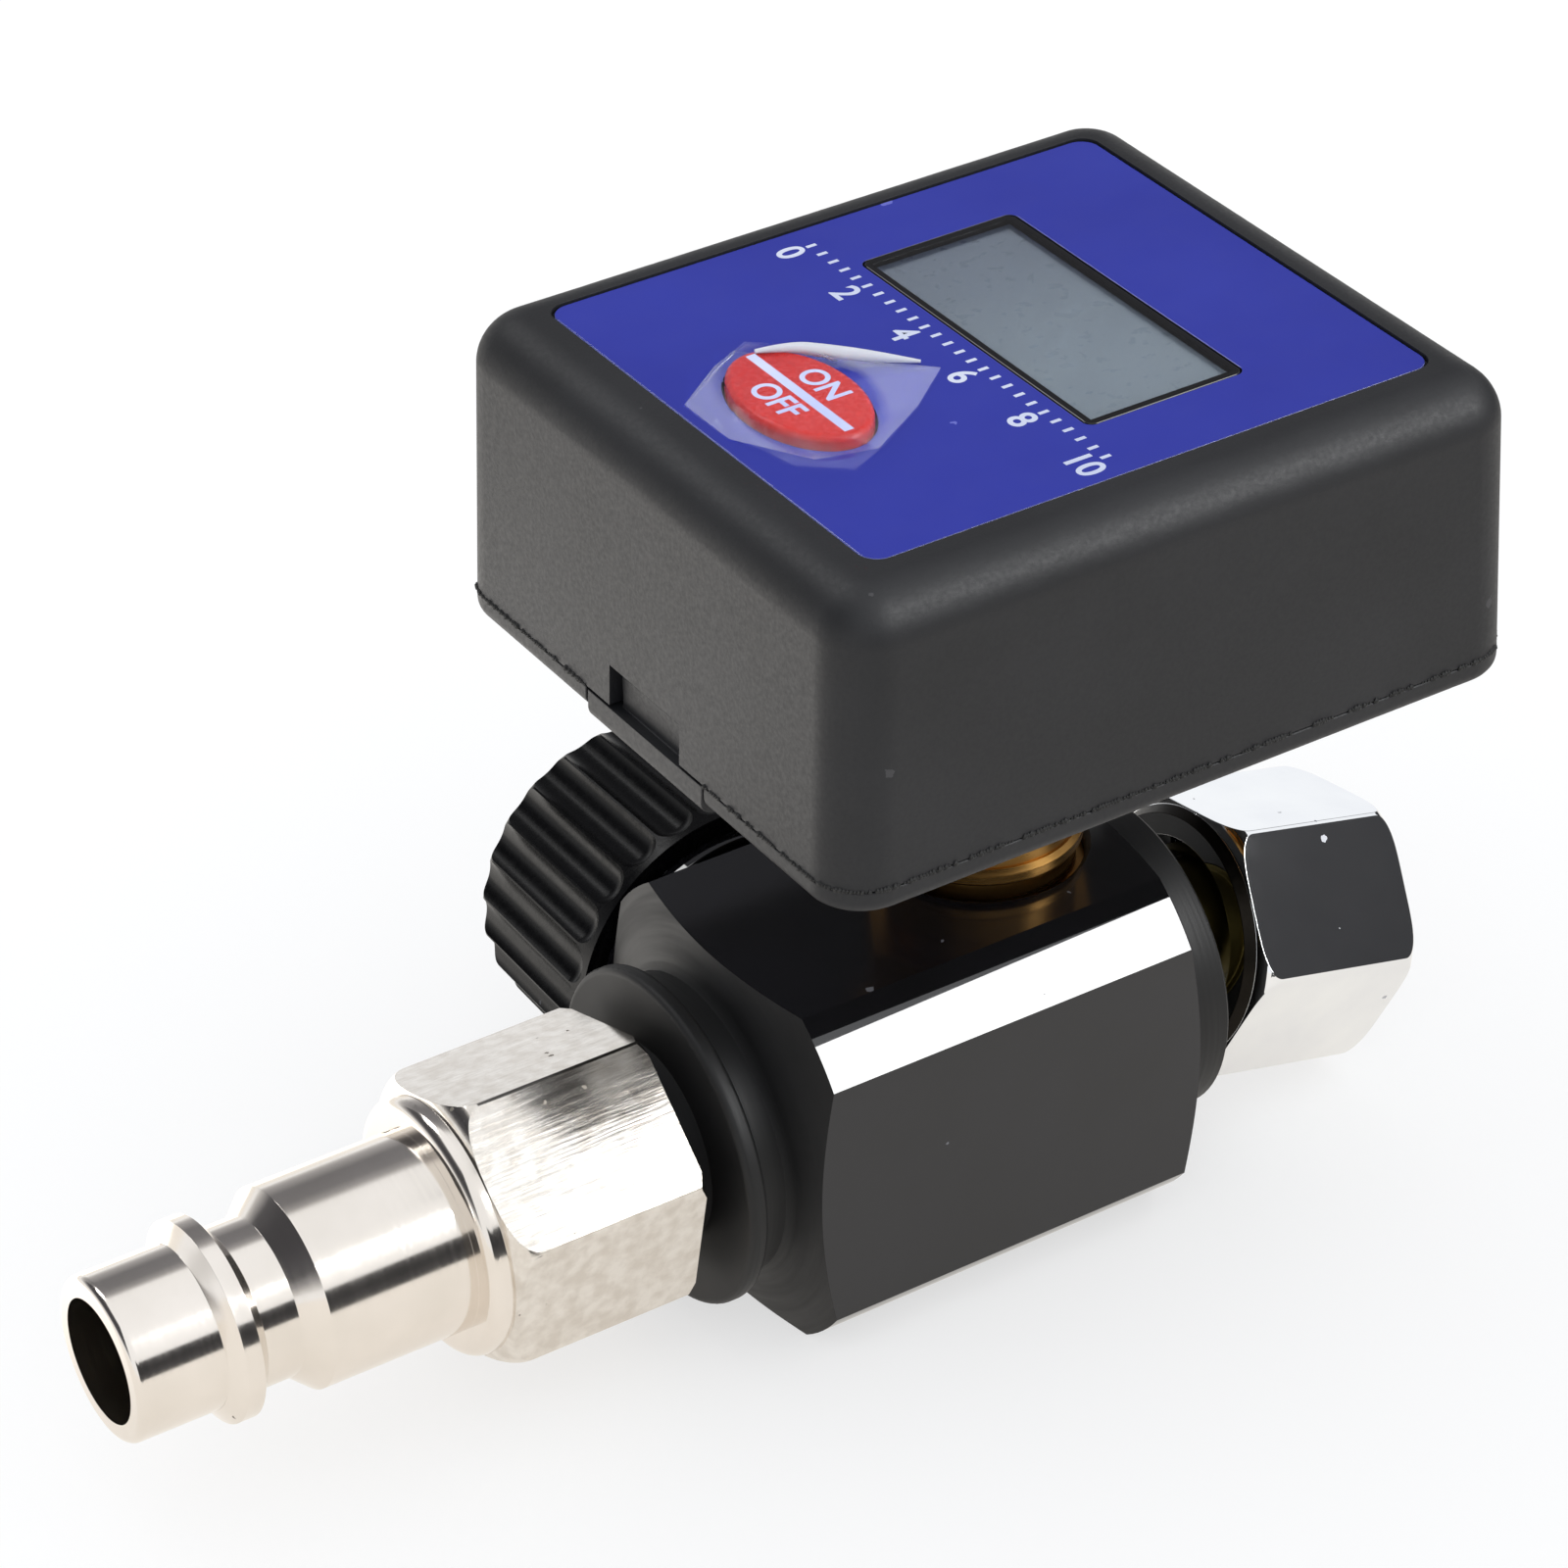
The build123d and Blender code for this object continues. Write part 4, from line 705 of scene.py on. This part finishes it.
@dataclass
class Face:
    """Label with its scale, the button's marks, the display and the film.

    Each point of the film's fold is X, Y and Z from the middle of the button's top, and a radius.
    """

    label_edge_mm: float = 0.08
    window_edge_mm: float = 0.1
    button_edge_mm: float = 0.06
    border_mm: float = 0.5
    rim_mm: float = 0.4
    flat_limit: float = 0.9
    row_x_mm: float = -3.9
    row_half_mm: float = 15.4
    figure_mm: float = 1.8
    tick_mm: float = 0.7
    tick_off_mm: float = 1.6
    figures: tuple[str, ...] = ("0", "2", "4", "6", "8", "10")
    ink_mm: float = 0.02
    tick_width_mm: float = 0.28
    ticks_each: int = 5
    stroke_mm: float = 0.05
    capital_share: float = 0.7
    bar_mm: float = 0.65
    bar_length_mm: float = 10.6
    button_text_mm: float = 1.7
    button_row_share: float = 0.95
    fold_mm: tuple[tuple[float, float, float, float], ...] = (
        (0.3, 5.25, 0.2, 0.14),
        (2.35, 4.6, 0.2, 0.34),
        (3.9, 3.1, 0.05, 0.46),
        (6.1, 1.4, -0.2, 0.38),
        (8.5, -0.05, -0.62, 0.1),
    )

    def text(self, words: str, size_mm: float, x: float, y: float, z: float) -> bpy.types.Object:
        """Set a word on the face so that it reads towards the front.

        Args:
            words: What it says.
            size_mm: Height of a capital.
            x: Middle of the word across the case, in metres.
            y: Middle of the word along the case, in metres.
            z: Height of the face, in metres.

        Returns:
            The word as a mesh object.
        """
        curve = bpy.data.curves.new("word", "FONT")
        curve.body = words
        curve.size = size_mm * MM / self.capital_share
        curve.align_x = "CENTER"
        curve.align_y = "CENTER"
        curve.extrude = self.ink_mm * MM / 2
        curve.offset = self.stroke_mm * MM
        word = object_of("word", curve)
        word.matrix_world = Matrix(((0, 1, 0, x), (-1, 0, 0, y), (0, 0, 1, z), (0, 0, 0, 1)))
        return baked(word, "word")

    def joined(self, pieces: list[bpy.types.Object], name: str, finish: Finish) -> bpy.types.Object:
        """Join flat pieces into one mesh with one finish."""
        work = bmesh.new()
        for piece in pieces:
            work.from_mesh(piece.data)
            bpy.data.objects.remove(piece)
        mesh = mesh_of(work, name)
        mesh.materials.clear()
        mesh.materials.append(finish.build())
        return object_of(name, mesh)

    def tick_tree(self) -> Nodes:
        """Make the tree of a row of ticks.

        Returns:
            A tree with the inputs Count, Length, Tick, Width, Thickness and Ink.
        """
        sizes = dict.fromkeys(("Length", "Tick", "Width", "Thickness"), "Float")
        tree = tree_with("scale_ticks", sizes | {"Count": "Int", "Ink": "Material"})
        given = add(tree, "NodeGroupInput").outputs
        start = add(tree, "ShaderNodeCombineXYZ", Y=reckon(tree, "MULTIPLY", given["Length"], 0.5))
        end = add(tree, "ShaderNodeCombineXYZ", Y=reckon(tree, "MULTIPLY", given["Length"], -0.5))
        line = add(
            tree, "GeometryNodeMeshLine", {"mode": "END_POINTS"}, Count=given["Count"],
            Start_Location=start.outputs[0], Offset=end.outputs[0],
        )
        size = add(tree, "ShaderNodeCombineXYZ", X=given["Tick"], Y=given["Width"], Z=given["Thickness"])
        tick = add(tree, "GeometryNodeMeshCube", Size=size.outputs[0])
        row = add(tree, "GeometryNodeInstanceOnPoints", Points=line.outputs[0], Instance=tick.outputs[0])
        end_tree(tree, row.outputs[0], given["Ink"])
        return tree

    def build_scale(self) -> None:
        """Print a plain scale beside the display, where the real label carries lettering."""
        low, high = corners("face_label")
        middle = (low + high) / 2
        x = middle.x + self.row_x_mm * MM
        last = len(self.figures) - 1
        words = []
        for n, figure in enumerate(self.figures):
            y = middle.y + self.row_half_mm * MM * (1 - 2 * n / last)
            words.append(self.text(figure, self.figure_mm, x, y, high.z))
        row = self.joined(words, "scale_figures", INK)
        place(row.name, "regulator", "blue_label")
        values = {
            "Length": 2 * self.row_half_mm * MM,
            "Tick": self.tick_mm * MM,
            "Width": self.tick_width_mm * MM,
            "Thickness": self.ink_mm * MM,
            "Count": self.ticks_each * last + 1,
            "Ink": INK.build(),
        }
        ticks = from_tree("scale_ticks", self.tick_tree(), values)
        ticks.data.transform(Matrix.Translation((x + self.tick_off_mm * MM, middle.y, high.z)))
        place(ticks.name, "regulator", "blue_label")

    def build_button(self) -> None:
        """Dress the button and print its bar and its two marks."""
        cap = softened("reset_button", "button_skin", self.button_edge_mm, BUTTON)
        place(cap.name, "button", "red_button", "reset_button")
        low, high = corners("reset_button")
        middle = (low + high) / 2
        work = bmesh.new()
        bmesh.ops.create_cube(work, size=1.0)
        bar_size = Vector((self.bar_mm, self.bar_length_mm, self.ink_mm)) * MM
        bmesh.ops.scale(work, vec=bar_size, verts=work.verts)
        bmesh.ops.translate(work, vec=(middle.x, middle.y, high.z), verts=work.verts)
        off = self.button_text_mm * self.button_row_share * MM
        marks = [
            object_of("bar", mesh_of(work, "bar")),
            self.text("ON", self.button_text_mm, middle.x + off, middle.y, high.z),
            self.text("OFF", self.button_text_mm, middle.x - off, middle.y, high.z),
        ]
        printed = self.joined(marks, "button_marks", INK)
        place(printed.name, "button", "red_button")

    def build(self) -> None:
        """Dress the label, the display, the button and the film."""
        label = softened("face_label", "label_skin", self.label_edge_mm, LABEL, LABEL_EDGE, BLACK_INK)
        start, end = corners("face_label")
        for face in label.data.polygons:
            x, y = face.center.x, face.center.y
            off_rim = min(x - start.x, end.x - x, y - start.y, end.y - y)
            if abs(face.normal.z) < self.flat_limit:
                face.material_index = 1 if off_rim < self.rim_mm * MM else 2
        place(label.name, "regulator", "blue_label", "face_label")
        self.build_scale()
        self.build_button()
        low, high = corners("display_window")
        middle = (low + high) / 2
        half = ((high.x - low.x) / 2, (high.y - low.y) / 2)
        # Clear acrylic, scratched in use, with its edge printed black from below
        pane = ClearFinish(
            "acrylic_clear_black_border", "#dfe6ea", 0.07, 1.49, 0.25, self.border_mm, tuple(middle), half
        )
        window = softened("display_window", "window_skin", self.window_edge_mm, pane)
        place(window.name, "regulator", "clear_window", "display_window")
        self.build_film()

    def build_film(self) -> None:
        """Dress the loose film, and roll up the fold that runs from the button to its point."""
        low, high = corners("reset_button")
        middle = (low + high) / 2
        half = ((high.x - low.x) / 2, (high.y - low.y) / 2)
        # Thin clear film: it can't be seen where it lies on the button, and is milky where it has come loose
        film = ClearFinish(
            "film_clear_polyethylene", "#f4f6ff", 0.04, 1.05, 0.4, centre=tuple(middle), half=half,
            haze=0.09, coat=0.1,
        )
        frame["nodes"]["button_film"].data.materials.clear()
        frame["nodes"]["button_film"].data.materials.append(film.build())
        LOG.info("button_film: dressed")
        # The same film in a tight fold: its shape is the film's curled edge, and its white is a painted highlight
        # where the crease catches the lamp
        fold_highlight = ClearFinish(
            "polyethylene_fold_painted_highlight", "#eef0f6", 0.3, 1.1, 0.4, centre=tuple(middle), half=(MM, MM),
            haze=0.75, coat=0.5,
        )
        curve = bpy.data.curves.new("film_fold", "CURVE")
        curve.dimensions = "3D"
        curve.bevel_depth = MM
        curve.bevel_resolution = 3
        curve.use_fill_caps = True
        line = curve.splines.new("NURBS")
        line.points.add(len(self.fold_mm) - 1)
        for point, (x, y, z, radius) in zip(line.points, self.fold_mm):
            point.co = (middle.x + x * MM, middle.y + y * MM, high.z + z * MM, 1.0)
            point.radius = radius
        line.order_u = 3
        line.use_endpoint_u = True
        fold = baked(object_of("film_fold_work", curve), "film_fold")
        # The fold's white material is a painted highlight
        fold.data.materials.append(fold_highlight.build())
        for face in fold.data.polygons:
            face.use_smooth = True
        place(fold.name, "regulator", "clear_film")


@dataclass
class Case:
    """Moulded case, rear cover and battery door, with ragged flash along the seam."""

    edge_mm: float = 0.12
    corner_mm: float = 3.5
    bead_mm: float = 0.21
    step_mm: float = 0.22
    clump_mm: float = 2.2
    bare_limit: float = 0.43
    bead_range: tuple[float, float] = (0.35, 1.1)
    seam_mm: float = 1.7

    def flash_tree(self) -> Nodes:
        """Make the tree of the crumbs of plastic that hang along a rounded rectangle.

        Returns:
            A tree with the inputs Width, Depth, Corner, Step, Bead, Clump, Gap, Gap Half and Plastic. It
            leaves out what lies within Gap Half of Gap along Y, on the side towards -X.
        """
        names = ("Width", "Depth", "Corner", "Step", "Bead", "Clump", "Gap", "Gap Half")
        sizes = dict.fromkeys(names, "Float")
        tree = tree_with("seam_flash", sizes | {"Plastic": "Material"})
        given = add(tree, "NodeGroupInput").outputs
        oblong = "GeometryNodeCurvePrimitiveQuadrilateral"
        sides = add(tree, oblong, Width=given["Width"], Height=given["Depth"]).outputs[0]
        fillets = {"mode": "POLY"}
        path = add(tree, "GeometryNodeFilletCurve", fillets, Curve=sides, Count=8, Radius=given["Corner"])
        spaced = {"mode": "LENGTH"}
        points = add(tree, "GeometryNodeCurveToPoints", spaced, Curve=path.outputs[0], Length=given["Step"])
        clumps = add(tree, "ShaderNodeTexNoise", Scale=given["Clump"], Detail=2.0)
        held = reckon(tree, "GREATER_THAN", clumps.outputs[0], self.bare_limit)
        spot = add(tree, "GeometryNodeInputPosition").outputs[0]
        x, y, _ = add(tree, "ShaderNodeSeparateXYZ", Vector=spot).outputs
        off = reckon(tree, "ABSOLUTE", reckon(tree, "SUBTRACT", y, given["Gap"]))
        beside = reckon(tree, "GREATER_THAN", off, given["Gap Half"])
        across = reckon(tree, "GREATER_THAN", x, 0.0)
        held = reckon(tree, "MULTIPLY", held, reckon(tree, "MAXIMUM", beside, across))
        least, most = self.bead_range
        size = add(tree, "FunctionNodeRandomValue", {"data_type": "FLOAT"}, _2=least, _3=most, Seed=SEED)
        crumb = add(tree, "GeometryNodeMeshIcoSphere", Radius=given["Bead"], Subdivisions=1)
        row = add(
            tree, "GeometryNodeInstanceOnPoints", Points=points.outputs[0], Selection=held,
            Instance=crumb.outputs[0], Scale=size.outputs[1],
        )
        end_tree(tree, row.outputs[0], given["Plastic"])
        return tree

    def build_flash(self) -> None:
        """Hang the flash on the seam between case and cover."""
        low, high = corners("front_case")
        start, end = corners("battery_door")
        values = {
            "Gap": (start.y + end.y) / 2 - (low.y + high.y) / 2,
            "Gap Half": (end.y - start.y) / 2 + self.bead_mm * MM,
            "Width": high.x - low.x,
            "Depth": high.y - low.y,
            "Corner": self.corner_mm * MM,
            "Step": self.step_mm * MM,
            "Bead": self.bead_mm * MM,
            "Clump": 1.0 / (self.clump_mm * MM),
            "Plastic": RUBBER.build(),
        }
        flash = from_tree("seam_flash", self.flash_tree(), values)
        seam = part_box("rear_cover")[0][2] + self.seam_mm * MM
        flash.data.transform(Matrix.Translation(((low.x + high.x) / 2, (low.y + high.y) / 2, seam)))
        place(flash.name, "regulator", "moulded_black")

    def build(self) -> None:
        """Dress the outer mouldings."""
        self.build_flash()
        bodies = {"front_case": "regulator", "rear_cover": "regulator", "battery_door": "door"}
        for node, body in bodies.items():
            piece = softened(node, node + "_skin", self.edge_mm, CASE_ABS)
            place(piece.name, body, "moulded_black", node)


@dataclass
class Works:
    """Inner and small pieces that keep their CAD form."""

    finishes: dict[Finish, tuple[str, ...]] = field(
        default_factory=lambda: {
            BRASS: ("gauge_stem", "stem_nut", "spring_nut", "valve_seat", "poppet"),
            ALUMINIUM: ("piston",),
            ZINC: (
                "adjusting_screw", "knob_screw", "case_screws", "board_contact", "door_contact",
                "pressure_sensor", "coin_cells",
            ),
            RUBBER: ("seat_seal", "piston_ring", "lcd_connectors"),
            CASE_ABS: ("tact_switch", "switch_plunger"),
            BOARD: ("circuit_board",),
            DISPLAY: ("lcd_panel",),
        }
    )

    give_mm: float = 0.05

    def build_springs(self) -> None:
        """Copy each coil spring in zinc plate, with a mesh of its own, in place of its CAD node."""
        for node, joint in (("control_spring", "nut_travel"), ("poppet_spring", "poppet_lift")):
            mesh = frame["nodes"][node].data.copy()
            mesh.materials.clear()
            mesh.materials.append(ZINC.build())
            piece = object_of(node + "_coil", mesh)
            place(piece.name, "regulator", "zinc_steel", node)
            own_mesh(piece)

    def build(self) -> None:
        """Dress each piece with its finish."""
        self.build_springs()
        for finish, nodes in self.finishes.items():
            for node in nodes:
                mesh = frame["nodes"][node].data
                mesh.materials.clear()
                mesh.materials.append(finish.build())
                LOG.info("%s: %s", node, finish.name)


@dataclass(frozen=True)
class SoftBox:
    """Rectangular soft box: its direction and height above the horizon, distance, size and radiance.

    Angles are in degrees from +X towards +Y, the size is what it spans as seen from the point it
    looks at, and a radiance of 1 is white.
    """

    name: str
    aim_deg: tuple[float, float]
    distance: float
    spread_deg: tuple[float, float]
    radiance: float
    centre: Point


@dataclass(frozen=True)
class Card:
    """Curved card that stands round the object: its radius, span, edges and colours.

    The span is in degrees from +X towards +Y. Its upper edge has a height at its start and one at its
    end. Each colour has its place from the lower edge, 0, to the highest, 1.
    """

    name: str
    radius: float
    span_deg: tuple[float, float]
    low: float
    highs: tuple[float, float]
    tones: tuple[tuple[float, Hex], ...]


KEY = SoftBox("key", (-51.2, 35.4), 0.6, (20.5, 23.0), 13.5, (0.005, -0.01, 0.022))
RIM = SoftBox("rim", (110.0, 50.0), 0.8, (18.0, 19.0), 6.0, (-0.0045, 0.013, 0.022))
CARDS = (
    Card(
        "card_front", 0.25, (-125.0, 25.0), 0.0005, (0.105, 0.125),
        ((0.0, "#505052"), (0.5, "#39393b"), (1.0, "#4a4a4c")),
    ),
    Card(
        "card_back", 0.9, (20.0, 106.0), 0.1, (1.55, 1.55),
        (
            (0.0, "#e6e6e6"), (0.07, "#b3b3b6"), (0.16, "#9d9da0"), (0.27, "#7c7c80"), (0.6, "#828286"),
            (0.85, "#aaaaac"), (1.0, "#f0f0f2"),
        ),
    ),
    Card(
        "card_side", 0.9, (106.0, 205.0), 0.1, (1.55, 1.55),
        (
            (0.0, "#e6e6e6"), (0.07, "#a3a3a6"), (0.14, "#5c5c60"), (0.3, "#48484c"), (0.7, "#56565a"),
            (1.0, "#c8c8ca"),
        ),
    ),
)


@dataclass
class Studio:
    """Floor, world, soft boxes, cards that the dark parts of polished metal come from, and the camera.

    The floor is a little brighter in a pool behind the object, and only where a surface mirrors it.
    """

    azimuth: float = 1.0048
    elevation: float = 0.58915
    roll: float = -0.0178940
    distance_mm: float = 353.211
    aside_mm: float = 0.2366
    above_mm: float = -18.8814
    datum_mm: Point = (-8.83, 0.0, 12.2)
    focal_px: float = 5743.28
    image_px: int = 1600
    floor_glow: float = 0.62
    pool_m: Point = (-0.068, 0.08, 0.0)
    pool_radii_m: tuple[float, float] = (0.03, 0.075)
    pool_glow: float = 4.0
    sheet_glow: float = 1.1
    sheet_warm: Hex = "#fcf8f2"
    fibre_mm: float = 10 / 3
    floor_half_m: float = 3.0
    sky_level: float = 1.12
    sky_colour: Hex = "#fafcff"
    sensor_mm: float = 36.0

    def place_camera(self) -> None:
        """Set the camera where the photograph was taken from."""
        ce, se = math.cos(self.elevation), math.sin(self.elevation)
        view = Vector((ce * math.cos(self.azimuth), ce * math.sin(self.azimuth), -se))
        right = view.cross(Vector((0, 0, 1))).normalized()
        up = right.cross(view)
        cr, sr = math.cos(self.roll), math.sin(self.roll)
        right, up = cr * right + sr * up, cr * up - sr * right
        spot = Vector(self.datum_mm) - view * self.distance_mm - right * self.aside_mm - up * self.above_mm
        lens = bpy.data.cameras.new("camera")
        lens.sensor_width = self.sensor_mm
        lens.lens = self.focal_px / self.image_px * lens.sensor_width
        lens.clip_start = 0.01
        lens.clip_end = 20.0
        camera = object_of("camera", lens)
        axes = Matrix((right, up, -view)).transposed().to_4x4()
        camera.matrix_world = Matrix.Translation(spot * MM) @ axes
        bpy.context.scene.camera = camera

    def stand_card(self, card: Card, steps: int = 24) -> None:
        """Stand a card that only reflections see.

        Args:
            card: The card.
            steps: How many flat pieces its curve has.
        """
        work = bmesh.new()
        rows = []
        for step in range(steps + 1):
            share = step / steps
            angle = math.radians(card.span_deg[0] + (card.span_deg[1] - card.span_deg[0]) * share)
            top = card.highs[0] + (card.highs[1] - card.highs[0]) * share
            x, y = card.radius * math.cos(angle), card.radius * math.sin(angle)
            rows.append((work.verts.new((x, y, card.low)), work.verts.new((x, y, top))))
        for a, b in zip(rows, rows[1:]):
            work.faces.new((a[0], b[0], b[1], a[1]))
        mesh = mesh_of(work, card.name)
        paint, tree, shader = blank(card.name)
        tree.nodes.remove(shader)
        axes = add(tree, "ShaderNodeSeparateXYZ", Vector=add(tree, "ShaderNodeTexCoord").outputs["Object"])
        level = spread(tree, axes.outputs[2], (card.low, max(card.highs)))
        ramp = add(tree, "ShaderNodeValToRGB", Fac=level)
        bands = ramp.color_ramp.elements
        while len(bands) < len(card.tones):
            bands.new(0.5)
        for band, (height, tone) in zip(bands, card.tones):
            band.position = height
            band.color = linear(tone)
        glow = add(tree, "ShaderNodeEmission", Color=ramp.outputs[0], Strength=1.0)
        feed(tree, tree.nodes["Material Output"], _0=glow.outputs[0])
        mesh.materials.append(paint)
        piece = object_of(card.name, mesh)
        piece.visible_camera = False
        piece.visible_diffuse = False
        piece.visible_shadow = False
        piece.visible_transmission = False

    def hang_box(self, box: SoftBox) -> None:
        """Hang a soft box that only reflections see."""
        width, height = (2 * box.distance * math.tan(math.radians(spread / 2)) for spread in box.spread_deg)
        light = bpy.data.lights.new(box.name, "AREA")
        light.shape = "RECTANGLE"
        light.size = width
        light.size_y = height
        light.energy = box.radiance * math.pi * width * height
        turn, rise = (math.radians(angle) for angle in box.aim_deg)
        towards = Vector((math.cos(rise) * math.cos(turn), math.cos(rise) * math.sin(turn), math.sin(rise)))
        side = Vector((-math.sin(turn), math.cos(turn), 0.0))
        axes = Matrix((side, towards.cross(side), towards)).transposed().to_4x4()
        lamp = object_of(box.name, light)
        lamp.matrix_world = Matrix.Translation(Vector(box.centre) + towards * box.distance) @ axes
        lamp.visible_diffuse = False
        lamp.visible_camera = False

    def paper(self) -> bpy.types.Material:
        """Make the white paper of the floor.

        Returns:
            The material, which shows its own light where it is seen or mirrored.
        """
        made, tree, shader = blank("paper_white_backdrop")
        ray = add(tree, "ShaderNodeLightPath").outputs
        where = add(tree, "ShaderNodeTexCoord").outputs["Object"]
        seen = ray["Is Camera Ray"]
        sheet = blend(tree, seen, linear(self.sheet_warm), linear("#ffffff"))
        for kind in ("Is Glossy Ray", "Is Transmission Ray"):
            seen = reckon(tree, "MAXIMUM", seen, ray[kind])
        share = reckon(tree, "MULTIPLY", seen, self.floor_glow)
        off = add(tree, "ShaderNodeVectorMath", {"operation": "DISTANCE"}, _0=where, _1=self.pool_m)
        pool = spread(tree, off.outputs[1], self.pool_radii_m, (self.pool_glow, self.sheet_glow), smooth=True)
        level = add(tree, "ShaderNodeMix", _0=ray["Is Camera Ray"], _2=pool, _3=1.0)
        glow = add(tree, "ShaderNodeEmission", Color=sheet, Strength=level.outputs[0])
        both = add(tree, "ShaderNodeMixShader", _0=share, _1=shader.outputs[0], _2=glow.outputs[0])
        feed(tree, tree.nodes["Material Output"], _0=both.outputs[0])
        fibres = add(tree, "ShaderNodeTexNoise", Vector=where, Scale=1.0 / (self.fibre_mm * MM))
        bump = add(tree, "ShaderNodeBump", Strength=0.02, Distance=0.1 * MM, Height=fibres.outputs[0])
        feed(tree, shader, Base_Color=sheet, Normal=bump.outputs[0], Roughness=0.9, Specular_IOR_Level=0.0)
        return made

    def build_floor(self) -> None:
        """Lay the floor."""
        work = bmesh.new()
        bmesh.ops.create_grid(work, x_segments=1, y_segments=1, size=self.floor_half_m)
        mesh = mesh_of(work, "floor")
        mesh.materials.append(self.paper())
        object_of("floor", mesh)

    def build_world(self) -> None:
        """Build the world: an even light, and plain white where the camera sees it."""
        world = bpy.data.worlds.new("studio")
        bpy.context.scene.world = world
        world.use_nodes = True
        tree = world.node_tree
        sky = tree.nodes["Background"]
        feed(tree, sky, Strength=self.sky_level, Color=linear(self.sky_colour))
        shown = add(tree, "ShaderNodeBackground", Color=linear("#ffffff"), Strength=1.0)
        seen = add(tree, "ShaderNodeLightPath").outputs["Is Camera Ray"]
        both = add(tree, "ShaderNodeMixShader", _0=seen, _1=sky.outputs[0], _2=shown.outputs[0])
        feed(tree, tree.nodes["World Output"], _0=both.outputs[0])

    def build(self) -> None:
        """Build the floor, the world, the soft boxes, the cards and the camera."""
        self.build_floor()
        self.build_world()
        for box in (KEY, RIM):
            self.hang_box(box)
        for card in CARDS:
            self.stand_card(card)
        self.place_camera()


def main() -> None:
    """Build and dress every sub-assembly, then the studio."""
    logging.basicConfig(level=logging.INFO, format="%(message)s")
    for part in (Body(), Inlet(), Outlet(), Knob(), Case(), Face(), Works(), Studio()):
        part.build()
        LOG.info("%s done", type(part).__name__)
    scene = bpy.context.scene
    scene.view_settings.view_transform = "Standard"


if __name__ == "__main__":
    main()
